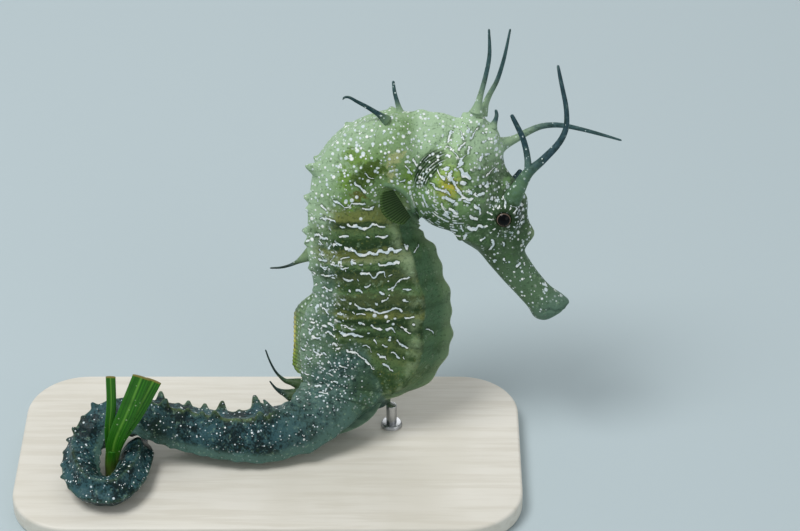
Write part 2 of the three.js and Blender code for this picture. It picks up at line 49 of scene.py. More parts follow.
mm = 0.001
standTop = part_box("stand_base")[1][2] / mm


# The animal's own frame: head and trunk stand in a plane that leans back

pose = {
    "foot": (11.0, 5.0),      # where the trunk's own plane meets the stand
    "lean": 15.0,             # degrees that the plane leans back
    "stem": (-34.55, -11.4),  # the seagrass, from the foot
}
lean = math.radians(pose["lean"])
trunkFoot = np.array([pose["foot"][0], pose["foot"][1], standTop])
forwardWay = np.array([1.0, 0.0, 0.0])
leanUp = np.array([0.0, math.sin(lean), math.cos(lean)])
leanSide = np.array([0.0, -math.cos(lean), math.sin(lean)])  # the animal's right


def inBody(forward, height, side=0.0):
    outer = np.multiply.outer
    return trunkFoot + outer(forward, forwardWay) + outer(height, leanUp) + outer(side, leanSide)


def fromFoot(x, y, z):
    return trunkFoot + np.array([x, y, z])


def planeOf(points):
    away = points - trunkFoot
    return away[..., 0], away @ leanUp, away @ leanSide


def ease(value, low, high):
    share = np.clip((value - low) / (high - low), 0.0, 1.0)
    return share * share * (3 - 2 * share)


def unit(vectors):
    return vectors / np.maximum(np.linalg.norm(vectors, axis=-1, keepdims=True), 1e-9)


# A smooth curve through points, read at places counted in points

def alongCurve(points, places):
    points = np.asarray(points, float)
    if points.ndim == 1:
        points = points[:, None]
    places = np.asarray(places, float)
    ends = [2 * points[0] - points[1]], points, [2 * points[-1] - points[-2]]
    padded = np.vstack(ends)
    first = np.clip(np.floor(places).astype(int), 0, len(points) - 2)
    return blendedSpan([padded[first + k] for k in range(4)], (places - first)[..., None])


def blendedSpan(p, t):
    gaps = [np.sqrt(np.linalg.norm(p[k + 1] - p[k], axis=-1, keepdims=True)) for k in range(3)]
    middle = np.where(gaps[1] < 1e-4, 1.0, gaps[1])
    before = np.where(gaps[0] < 1e-4, middle, gaps[0])
    after = np.where(gaps[2] < 1e-4, middle, gaps[2])
    leave = (p[1] - p[0]) / before - (p[2] - p[0]) / (before + middle) + (p[2] - p[1]) / middle
    arrive = (p[2] - p[1]) / middle - (p[3] - p[1]) / (middle + after) + (p[3] - p[2]) / after
    leave, arrive = leave * middle, arrive * middle
    square = -3 * p[1] + 3 * p[2] - 2 * leave - arrive
    cube = 2 * p[1] - 2 * p[2] + leave + arrive
    return p[1] + leave * t + square * t ** 2 + cube * t ** 3


# Half a section, from the back (1) to the belly (-1): back, upper ridge, side ridge, lower ridge,
# beside the belly, belly. How full it is between these points: 0 is straight, 1 is round.

sectionAngles = np.array([0, 30, 75, 135, 165, 180])
sectionForms = {
    "snout": {"along": (1, 0.86, 0.26, -0.72, -0.96), "across": (0, 0.52, 1, 0.7, 0.3), "full": 1},
    "head": {"along": (1, 0.8, 0.12, -0.62, -0.93), "across": (0, 0.42, 0.95, 0.86, 0.36), "full": 1},
    "trunk": {"along": (0.98, 0.98, 0.46, -0.55, -0.9), "across": (0, 0.5, 1.02, 0.74, 0.2), "full": 0.6},
    "tail": {"along": (0.9, 0.98, 0.05, -0.97, -0.95), "across": (0, 0.76, 1.02, 0.76, 0.34), "full": 0.75},
}

# Sections in the leaning plane: forward and height of the back and of the belly, half width,
# form, and how far the section is turned out of the plane.

bodySections = [
    ("mouth", 33.5, 20.1, 31.7, 19.2, 0.9, "snout", 0),
    ("lip", 34.2, 20.9, 30.4, 18.1, 1.9, "snout", 0),
    ("lipRear", 33.3, 21.9, 29.0, 18.5, 2.2, "snout", 0),
    ("snoutFore", 31.5, 23.2, 28.0, 20.1, 2.1, "snout", 0),
    ("snoutMiddle", 29.9, 25.0, 26.2, 22.2, 2.0, "snout", 0),
    ("snoutRear", 28.3, 27.3, 24.3, 24.3, 2.1, "snout", 0),
    ("snoutBase", 27.4, 29.2, 22.2, 26.8, 2.5, "snout", 0),
    ("noseSpine", 28.4, 31.2, 20.2, 29.2, 3.0, "head", 0),
    ("eyeLower", 28.2, 32.7, 18.0, 30.7, 3.4, "head", 0),
    ("eyeMiddle", 27.7, 34.8, 16.2, 32.3, 3.7, "head", 0),
    ("eyeUpper", 27.6, 37.4, 14.3, 32.9, 3.8, "head", 0),
    ("brow", 26.0, 39.9, 13.0, 33.5, 3.9, "head", 0),
    ("forehead", 24.3, 42.3, 12.2, 34.2, 4.1, "head", 0),
    ("frontSpine", 23.8, 45.4, 12.0, 34.35, 4.2, "head", 0),
    ("crown", 23.0, 48.0, 11.87, 34.4, 4.3, "head", 0),
    ("coronetFoot", 21.2, 49.6, 11.77, 34.4, 4.4, "head", 0),
    ("coronet", 19.6, 51.0, 11.69, 34.34, 4.5, "head", 0),
    ("coronetRear", 17.5, 49.8, 11.62, 34.26, 4.5, "head", 0),
    ("gill", 14.9, 50.5, 11.56, 34.15, 4.5, "head", 0),
    ("nape", 11.5, 50.7, 11.52, 34.02, 4.4, "head", 0),
    ("neckTop", 8.0, 50.7, 11.5, 33.88, 4.4, "trunk", 0),
    ("neckBend", 4.8, 50.0, 11.5, 33.72, 4.5, "trunk", 0),
    ("neckRear", 1.9, 48.7, 11.5, 33.55, 4.6, "trunk", 0),
    ("shoulderTop", -0.9, 46.7, 11.52, 33.35, 4.7, "trunk", 0),
    ("shoulder", -3.0, 44.0, 11.56, 33.1, 4.8, "trunk", 0),
    ("shoulderRear", -4.2, 41.0, 11.62, 32.8, 4.9, "trunk", 0),
    ("chestTop", -4.7, 37.8, 11.8, 32.3, 5.0, "trunk", 0),
    ("chest", -5.0, 33.8, 12.6, 31.2, 5.1, "trunk", 0),
    ("ribs", -5.1, 30.0, 14.2, 29.2, 5.2, "trunk", 0),
    ("belly", -4.5, 26.4, 15.1, 25.8, 5.2, "trunk", 0),
    ("waist", -4.2, 22.6, 16.4, 21.6, 5.1, "trunk", 0),
    ("finFront", -5.7, 19.4, 16.4, 18.4, 5.0, "trunk", 0),
    ("finMiddle", -6.3, 15.6, 16.6, 14.9, 4.9, "trunk", 0),
    ("keelLower", -6.3, 12.4, 15.7, 11.9, 4.8, "trunk", 0),
    ("keelFoot", -6.2, 10.4, 14.0, 8.9, 4.7, "trunk", 0.05),
    ("keelEnd", -6.1, 8.9, 11.9, 6.9, 4.6, "trunk", 0.2),
    ("vent", -6.1, 7.9, 9.2, 6.0, 4.5, "trunk", 0.45),
    ("ventRear", -6.4, 7.1, 7.3, 5.5, 4.5, "tail", 0.85),
    ("tailRoot", -6.8, 6.6, 5.5, 4.9, 4.5, "tail", 1.4),
    ("tailTurn", -7.3, 6.3, 3.6, 3.6, 4.6, "tail", 2.1),
    ("tailLower", -8.0, 6.2, 1.2, 2.2, 4.6, "tail", 3.2),
    ("tailLowest", -8.8, 5.9, -1.6, 0.7, 4.5, "tail", 4.3),
    ("tailLevel", -9.9, 5.8, -4.4, -0.4, 4.3, "tail", 5.4),
    ("tailFlat", -11.2, 5.5, -7.6, -0.9, 4.1, "tail", 6.1),
]

# The tail's middle line from the foot, with half its depth and half its width

tailSections = [
    (-11.7, -6.05, 3.8, 3.6, 3.85),
    (-15.6, -6.45, 3.7, 3.25, 3.5),
    (-20.7, -5.9, 3.95, 3.05, 3.2),
    (-25.2, -5.6, 5.0, 2.95, 3.0),
    (-28.9, -5.7, 6.25, 2.8, 2.9),
    (-32.2, -5.65, 6.75, 2.65, 2.75),
    (-35.3, -6.1, 5.9, 2.55, 2.6),
    (-37.5, -7.7, 5.0, 2.4, 2.45),
    (-38.7, -10.6, 3.9, 2.3, 2.35),
    (-38.6, -14.0, 3.0, 2.2, 2.25),
    (-36.8, -17.3, 2.65, 2.15, 2.15),
    (-33.7, -17.9, 2.6, 2.1, 2.1),
    (-31.6, -14.9, 2.6, 2.05, 2.1),
    (-30.95, -11.9, 2.55, 2.0, 2.0),
    (-30.75, -9.1, 2.5, 2.05, 2.1),
    (-30.65, -7.5, 1.9, 1.55, 1.7),
    (-30.5, -5.2, 1.15, 0.8, 0.9),
    (-30.2, -3.4, 0.9, 0.5, 0.55),
]
tailCoil = {
    "start": 2.5, "full": 6.5, "strength": 0.8,  # stations between which the back turns outward
    "tilt": 0.5, "rootTilt": 0.27, "rootBack": 0.4, "flat": 0.6,
}


def tailEnds(index):
    x, y, z, halfDepth, _ = tailSections[index]
    before = np.array(tailSections[max(index - 1, 0)][:3])
    after = np.array(tailSections[min(index + 1, len(tailSections) - 1)][:3])
    heading = unit(after - before)
    outward = unit(np.array([x - pose["stem"][0], y - pose["stem"][1], 0.0]))
    coil = tailCoil["strength"] * ease(index, tailCoil["start"], tailCoil["full"])
    fromTrunk = 1 - ease(index, -1, 2)
    tilt = tailCoil["tilt"] + (tailCoil["rootTilt"] - tailCoil["tilt"]) * fromTrunk
    dorsal = np.array([-tailCoil["rootBack"] * fromTrunk, tilt * (1 - coil), 1 - tailCoil["flat"] * coil])
    dorsal = dorsal + coil * outward
    dorsal = unit(dorsal - dorsal @ heading * heading)
    centre = fromFoot(x, y, z)
    return centre + halfDepth * dorsal, centre - halfDepth * dorsal


stationNames = [section[0] for section in bodySections]
tailRows = [tailEnds(index) for index in range(len(tailSections))]
backs = np.array([inBody(s[1], s[2], s[7]) for s in bodySections] + [back for back, _ in tailRows])
bellies = np.array([inBody(s[3], s[4], s[7]) for s in bodySections] + [belly for _, belly in tailRows])
halfWidths = np.array([s[5] for s in bodySections] + [s[4] for s in tailSections])
stationForms = [s[6] for s in bodySections] + ["tail"] * len(tailSections)
lastStation = len(backs) - 1


def middleAt(places):
    places = np.clip(places, 0, lastStation)
    return (alongCurve(backs, places) + alongCurve(bellies, places)) / 2


def formAt(places, key):
    values = np.array([np.atleast_1d(sectionForms[name][key]) for name in stationForms], float)
    first = np.clip(np.floor(places).astype(int), 0, lastStation - 1)
    blend = ease(places - first, 0, 1)[..., None]
    return values[first] * (1 - blend) + values[first + 1] * blend


# Length along the middle line, and rings counted from the vent: below zero on the trunk

rings = {"trunkPitch": 3.7, "tailPitch": 2.9, "tailLoss": 0.0265, "pastVent": 0.8, "first": -11, "last": 38,
         "shrink": 0.75}
tablePlaces = np.linspace(0, lastStation, 4000)
tableMiddle = middleAt(tablePlaces)
tableLength = np.concatenate([[0], np.cumsum(np.linalg.norm(np.diff(tableMiddle, axis=0), axis=1))])
ventLength = np.interp(stationNames.index("vent"), tablePlaces, tableLength) + rings["pastVent"]


def ringAt(places):
    length = np.interp(places, tablePlaces, tableLength) - ventLength
    onTail = np.maximum(length, 0)
    root = np.sqrt(np.maximum(rings["tailPitch"] ** 2 - 4 * rings["tailLoss"] * onTail, 0))
    tailRing = (rings["tailPitch"] - root) / (2 * rings["tailLoss"])
    return np.where(length < 0, length / rings["trunkPitch"], tailRing)


def placeOfRing(ring):
    ring = np.asarray(ring, float)
    onTail = rings["tailPitch"] * ring - rings["tailLoss"] * ring ** 2
    length = np.where(ring < 0, rings["trunkPitch"] * ring, onTail)
    return np.interp(ventLength + length, tableLength, tablePlaces)


# The surface before its relief: rows along the body, columns round it from the back

skinGrid = {"rows": 880, "columns": (8, 20, 16, 5, 3), "tubercleRows": 22, "bakeRows": 4}


def sectionFrames(places):
    back, belly = alongCurve(backs, places), alongCurve(bellies, places)
    heading = middleAt(places + 0.02) - middleAt(places - 0.02)
    dorsal = unit(back - belly)
    return {
        "centre": (back + belly) / 2,
        "dorsal": dorsal,
        "heading": unit(heading),
        "side": unit(np.cross(dorsal, heading)),
        "halfDepth": np.linalg.norm(back - belly, axis=-1) / 2,
        "halfWidth": alongCurve(halfWidths, places)[..., 0],
    }


def halfSection(places, angles, frames):
    along = np.concatenate([formAt(places, "along"), -np.ones((len(places), 1))], axis=1)
    across = np.concatenate([formAt(places, "across"), np.zeros((len(places), 1))], axis=1)
    full = formAt(places, "full")
    marks = np.stack([along * frames["halfDepth"][:, None], across * frames["halfWidth"][:, None]], -1)
    mirror = np.array([1, -1])
    looped = [marks[:, 1] * mirror] + [marks[:, k] for k in range(6)] + [marks[:, 4] * mirror]
    points = np.zeros((len(places), len(angles), 2))
    for column, angle in enumerate(angles):
        span = min(int(np.searchsorted(sectionAngles, angle, side="right")) - 1, 4)
        share = (angle - sectionAngles[span]) / (sectionAngles[span + 1] - sectionAngles[span])
        curved = blendedSpan(looped[span:span + 4], share)
        straight = looped[span + 1] * (1 - share) + looped[span + 2] * share
        points[:, column] = straight * (1 - full) + curved * full
    return points


def bodyPoints(places, angles, frames, sideSign=1.0):
    flat = halfSection(places, angles, frames)
    up = flat[..., 0, None] * frames["dorsal"][:, None]
    out = sideSign * flat[..., 1, None] * frames["side"][:, None]
    return frames["centre"][:, None] + up + out


def bodySurface():
    speed = np.maximum(
        np.linalg.norm(np.diff(alongCurve(backs, tablePlaces), axis=0), axis=1),
        np.linalg.norm(np.diff(tableMiddle, axis=0), axis=1))
    travelled = np.concatenate([[0], np.cumsum(speed)])
    steps = np.linspace(0, travelled[-1], skinGrid["rows"] + 1)
    places = np.interp(steps, travelled, tablePlaces)
    half = [np.array([0.0])]
    for span, count in enumerate(skinGrid["columns"]):
        half.append(np.linspace(sectionAngles[span], sectionAngles[span + 1], count + 1)[1:])
    half = np.concatenate(half)
    frames = sectionFrames(places)
    right = bodyPoints(places, half, frames)
    left = bodyPoints(places, half, frames, -1.0)
    points = np.concatenate([right, left[:, -2::-1]], axis=1)
    angles = np.concatenate([half, half[-2::-1]])
    sides = np.concatenate([np.ones(len(half)), -np.ones(len(half) - 1)])
    return points, places, angles, sides, frames


# Relief of the skin

def normalsOf(points):
    alongWay = np.gradient(points, axis=0)
    wrapped = np.concatenate([points[:, -2:-1], points, points[:, 1:2]], axis=1)
    roundWay = (wrapped[:, 2:] - wrapped[:, :-2]) / 2
    normal = unit(np.cross(roundWay, alongWay))
    centre = points[:, :-1].mean(axis=1, keepdims=True)
    outward = np.sum(normal * (points - centre), axis=-1).mean()
    return normal if outward > 0 else -normal


def swell(distance, radius, sharp=1.0):
    share = np.clip(distance / radius, 0, 1)
    return ((1 + np.cos(math.pi * share)) / 2) ** sharp


def fromLine(forward, height, line):
    nearest = np.full(forward.shape, 1e9)
    for (f0, h0), (f1, h1) in zip(line, line[1:]):
        length = max((f1 - f0) ** 2 + (h1 - h0) ** 2, 1e-9)
        share = np.clip(((forward - f0) * (f1 - f0) + (height - h0) * (h1 - h0)) / length, 0, 1)
        gap = np.hypot(forward - f0 - share * (f1 - f0), height - h0 - share * (h1 - h0))
        nearest = np.minimum(nearest, gap)
    return nearest


def pull(points, base, direction, height, radius, sharp=1.0, rows=None):
    span = rows if rows else slice(None)
    distance = np.linalg.norm(points[span] - base, axis=-1)
    points[span] += (height * swell(distance, radius, sharp))[..., None] * unit(np.asarray(direction, float))


eyes = {
    "forward": 24.0, "height": 35.3, "side": 3.1, "radius": 1.45,
    "opening": 1.06, "lid": 0.1, "turret": 3.3, "bowl": 0.1, "slope": 0.42, "bend": 1.15,
    "edge": (0.11, 0.08), "full": 0.62, "raisedOnly": 1.5, "sides": (0.8, 1.8),
}

# Lines and domes of the head's sides, in forward and height: lifts are over 0, grooves under 0

headLines = {
    "browRidge": ([(25.4, 40.4), (24.4, 44.0), (22.6, 47.6), (20.4, 49.6)], 0.38, 0.75),
    "cheekRidge": ([(22.4, 38.2), (19.6, 41.4), (17.0, 45.8)], 0.22, 0.7),
    "jawRidge": ([(21.2, 31.0), (18.6, 32.2), (17.0, 33.1)], 0.35, 0.6),
    "snoutLine": ([(30.6, 20.3), (27.2, 24.6), (24.6, 28.4)], 0.1, 0.5),
    "mouth": ([(33.9, 20.5), (32.2, 20.0), (31.1, 20.4)], -0.28, 0.22),
    "chinLine": ([(31.1, 20.4), (30.1, 19.7)], -0.16, 0.22),
    "underEyeFront": ([(24.0, 32.6), (23.9, 30.8)], 0.16, 0.35),
    "underEyeRear": ([(22.2, 32.2), (22.1, 30.5)], 0.16, 0.35),
    "gillSlit": ([(15.3, 47.4), (13.0, 45.2), (11.4, 42.2), (10.9, 39.4), (11.6, 36.2)], -0.34, 0.4),
}
finRoot = {
    "line": [(6.6, 41.0), (8.0, 40.5), (9.1, 39.8), (9.9, 38.9), (10.3, 38.0), (10.7, 36.2)],
    "lift": 0.6, "width": 0.55, "knob": (10.8, 35.9), "knobLift": 0.5, "knobWidth": 0.5,
}
cheek = {"forward": 17.4, "height": 40.1, "radius": 6.3, "lift": 0.8, "full": 0.55}
headArea = {"forward": (5.0, 8.0), "height": (17.0, 19.0), "side": (0.3, 1.2), "finSide": (2.0, 3.2)}

# Points that stand out of the skin: station, steps past it, angle from the back, sides, direction as
# forward, height and side, height, radius and sharpness

standingPoints = {
    "nosePoint": ("noseSpine", 0.55, 0, (0,), (1, 0.1, 0), 0.4, 1.7, 0.9),
    "frontPoint": ("frontSpine", 0.0, 0, (0,), (0.9, 0.4, 0), 0.4, 1.6, 1.2),
    "coronetFront": ("coronetFoot", 0.2, 18, (1, -1), (0.45, 1, 0.35), 0.7, 1.0, 1.4),
    "coronetTop": ("coronet", 0.0, 16, (1, -1), (0.1, 1, 0.25), 0.55, 0.9, 1.4),
    "coronetRear": ("coronetRear", -0.3, 0, (0,), (-0.5, 1, 0), 0.5, 0.9, 1.4),
    "jawPoint": ("eyeMiddle", -0.1, 150, (1, -1), (-0.4, -0.8, 0.5), 0.6, 1.3, 1.2),
    "napePoint": ("nape", -0.1, 0, (0,), (-0.2, 1, 0), 0.4, 1.5, 1.0),
}

# Heights of the tubercles on the upper ridges, by ring

tubercles = {
    "largeTail": (6, 8, 12, 16, 18, 21), "bareTail": (0, 1, 2, 3, 7, 11),
    "large": 2.1, "small": 1.25, "bare": 0.2, "largeOnCoil": 1.1, "smallOnCoil": 0.35, "low": 0.1,
    "shift": {5: -0.4, 6: -0.3, 8: 0.3, 9: 0.35, 10: 0.45, 12: 0.1},
    "right": {-11: 0.4, -10: 0.45, -9: 1.8, -8: 0.5, -7: 0.45, -6: 0.4, -5: 0.3},
    "left": {-11: 0.4, -10: 0.45, -9: 0.6, -8: 1.0, -7: 1.0, -6: 0.4, -5: 0.3},
    "others": 0.2, "flank": 0.3, "coil": (12, 16), "fade": (19, 24), "lastFlank": 20,
}
tubercleForm = {
    "radius": 0.62, "radiusGrowth": 0.42, "sharp": 1.1, "lean": 0.12,
    "finger": 0.3, "fingerGrowth": 0.19, "fingerSharp": 3,
}


def raiseHead(points):
    normal = normalsOf(points)
    forward, height, side = planeOf(points)
    onHead = ease(forward, *headArea["forward"]) * ease(height, *headArea["height"])
    onHead = onHead * ease(np.abs(side), *headArea["side"])
    underChin = 47.0 - forward - height
    onHead *= 1 - ease(underChin, 0, 4) * ease(34.0 - height, 0, 3)
    lift = np.zeros(forward.shape)
    for line, size, width in headLines.values():
        gap = fromLine(forward, height, line)
        lift += size * np.exp(-(gap / width) ** 2)
    reach = np.hypot(forward - cheek["forward"], height - cheek["height"])
    lift += cheek["lift"] * (1 - ease(reach, cheek["full"] * cheek["radius"], cheek["radius"]))
    lift *= onHead
    crescent = fromLine(forward, height, finRoot["line"])
    knob = np.hypot(forward - finRoot["knob"][0], height - finRoot["knob"][1])
    outside = ease(np.abs(side), *headArea["finSide"])
    lift += outside * finRoot["lift"] * np.exp(-(crescent / finRoot["width"]) ** 2)
    lift += outside * finRoot["knobLift"] * np.exp(-(knob / finRoot["knobWidth"]) ** 2)
    points += lift[..., None] * normal


def raiseTurret(points):
    forward, height, side = planeOf(points)
    reach = np.hypot(forward - eyes["forward"], height - eyes["height"])
    rim = eyes["side"] + math.sqrt(eyes["radius"] ** 2 - eyes["opening"] ** 2) + eyes["lid"]
    bowl = eyes["side"] + eyes["bowl"]
    cone = rim - eyes["slope"] * np.maximum(reach - eyes["radius"], 0) ** eyes["bend"]
    edge = ease(reach, eyes["opening"] - eyes["edge"][0], eyes["opening"] + eyes["edge"][1])
    target = bowl + (np.minimum(cone, rim) - bowl) * edge
    own = np.abs(side)
    blend = 1 - ease(reach, eyes["full"] * eyes["turret"], eyes["turret"])
    shift = (target - own) * blend
    shift = np.where(reach > eyes["raisedOnly"], np.maximum(shift, 0), shift)
    shift *= ease(own, *eyes["sides"])
    points += (shift * np.sign(side))[..., None] * leanSide


def raisePoints(points, places, angles, sides):
    for name, shift, angle, onSides, way, height, radius, sharp in standingPoints.values():
        row = int(np.abs(places - stationNames.index(name) - shift).argmin())
        for onSide in onSides:
            match = np.abs(angles - angle) + 200 * (sides * (onSide or 1) < 0)
            base = points[row, int(match.argmin())].copy()
            direction = inBody(way[0], way[1], way[2] * onSide) - trunkFoot
            pull(points, base, direction, height, radius, sharp)


def tubercleHeight(ring, angle, side):
    size = 1 - rings["shrink"] * max(ring, 0) / rings["last"]
    if ring > 0 and angle == 30:
        coil = float(ease(ring, *tubercles["coil"]))
        large = tubercles["large"] + (tubercles["largeOnCoil"] - tubercles["large"]) * coil
        small = tubercles["small"] + (tubercles["smallOnCoil"] - tubercles["small"]) * coil
        small = tubercles["bare"] if ring in tubercles["bareTail"] else small
        fade = 1 - float(ease(ring, *tubercles["fade"]))
        return fade * size * (large if ring in tubercles["largeTail"] else small)
    if ring > 0:
        return 0 if angle == 75 or ring > tubercles["lastFlank"] else size * tubercles["low"]
    if angle == 30:
        return tubercles["right" if side > 0 else "left"].get(ring, tubercles["others"])
    return tubercles["flank"]


def raiseTubercles(points, places, angles, sides, frames):
    form = tubercleForm
    for ring in range(rings["first"], rings["last"]):
        place = float(placeOfRing(ring + tubercles["shift"].get(ring, 0)))
        row = int(np.abs(places - place).argmin())
        rows = slice(max(row - skinGrid["tubercleRows"], 0), row + skinGrid["tubercleRows"] + 1)
        for angle in (30, 75, 135):
            for onSide in (1, -1):
                height = tubercleHeight(ring, angle, onSide)
                if height == 0:
                    continue
                radius = form["radius"] + form["radiusGrowth"] * min(height, 2)
                column = int((np.abs(angles - angle) + 200 * (sides * onSide < 0)).argmin())
                base = points[row, column].copy()
                direction = unit(base - frames["centre"][row]) + form["lean"] * frames["heading"][row]
                direction = unit(direction)
                if ring > 0 and angle == 30:
                    distance = np.linalg.norm(points[rows] - base, axis=-1)
                    wide = form["finger"] + form["fingerGrowth"] * height
                    finger = height * np.exp(-(distance / wide) ** form["fingerSharp"])
                    points[rows] += finger[..., None] * direction
                else:
                    pull(points, base, direction, height, radius, form["sharp"], rows)


ridges = {
    "upper": {"angle": 30, "width": 9, "lift": 0.12}, "side": {"angle": 75, "width": 8, "lift": 0.2},
    "lower": {"angle": 135, "width": 7, "lift": 0.28},
}
ringRelief = {"trunk": 0.1, "tail": 0.09, "tailRidge": 0.1, "keel": 0.16, "keelWidth": 9, "fade": (24, 34)}


def raiseRings(points, places, angles):
    normal = normalsOf(points)
    ring = ringAt(places)[:, None]
    angle = angles[None, :]
    wave = np.cos(2 * math.pi * ring)
    onTail = ease(ring, -1, 2)
    onTrunk = (1 - onTail) * ease(ring, -11.5, -9)
    flank = 1 - 0.8 * ease(angle, 138, 150)
    size = 1 - rings["shrink"] * np.clip(ring, 0, rings["last"]) / rings["last"]
    size = size * (1 - ease(ring, *ringRelief["fade"]))
    lift = onTail * ringRelief["tail"] * size * wave
    lift = lift + onTrunk * ringRelief["trunk"] * (0.5 + 0.5 * wave) ** 2 * flank
    for ridge in ridges.values():
        nearby = np.exp(-((angle - ridge["angle"]) / ridge["width"]) ** 2)
        lift = lift + nearby * (onTrunk * ridge["lift"] + onTail * ringRelief["tailRidge"] * size)
    keelEdge = np.exp(-((angle - 180) / ringRelief["keelWidth"]) ** 2) * onTrunk
    points += (lift + keelEdge * ringRelief["keel"] * wave)[..., None] * normal


def restOnStand(points):
    floor = standTop + 0.02
    points[..., 2] += np.maximum(floor - points[..., 2], 0)


# A closed skin over a grid of points, with their values for the finish and a map for baking

def wrappedSkin(name, points, values, bakeRows=1):
    rows, columns = points.shape[0] - 1, points.shape[1] - 1
    bm = bmesh.new()
    bmesh.ops.create_grid(bm, x_segments=rows, y_segments=columns, size=1)
    layer = bm.verts.layers.float_vector.new("bodyPlace")
    bake = bm.loops.layers.uv.new("OFBake")
    where = {}
    for vert in bm.verts:
        i = round((vert.co.x + 1) / 2 * rows)
        j = round((vert.co.y + 1) / 2 * columns)
        where[vert.index] = (i, j)
        vert.co = points[i, j]
        vert[layer] = values[i, j]
    perStrip = math.ceil(rows / bakeRows)
    for face in bm.faces:
        cells = [where[loop.vert.index] for loop in face.loops]
        strip = min(cell[0] for cell in cells) // perStrip
        for loop, (i, j) in zip(face.loops, cells):
            u = 0.01 + 0.98 * (i - strip * perStrip) / perStrip
            loop[bake].uv = (u, (strip + 0.03 + 0.94 * j / columns) / bakeRows)
    bmesh.ops.remove_doubles(bm, verts=bm.verts, dist=1e-8)
    bmesh.ops.recalc_face_normals(bm, faces=bm.faces)
    return finished(name, bm)


def finished(name, bm):
    mesh = bpy.data.meshes.new(name)
    bm.to_mesh(mesh)
    bm.free()
    mesh.shade_smooth()
    piece = bpy.data.objects.new(name, mesh)
    bpy.context.collection.objects.link(piece)
    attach(piece, "root")
    return piece


# Feelers of skin: forward, height, side and radius along each, the tone of its root, and how far the
# skin is drawn up round it. A wide first point makes it grow out of the body.

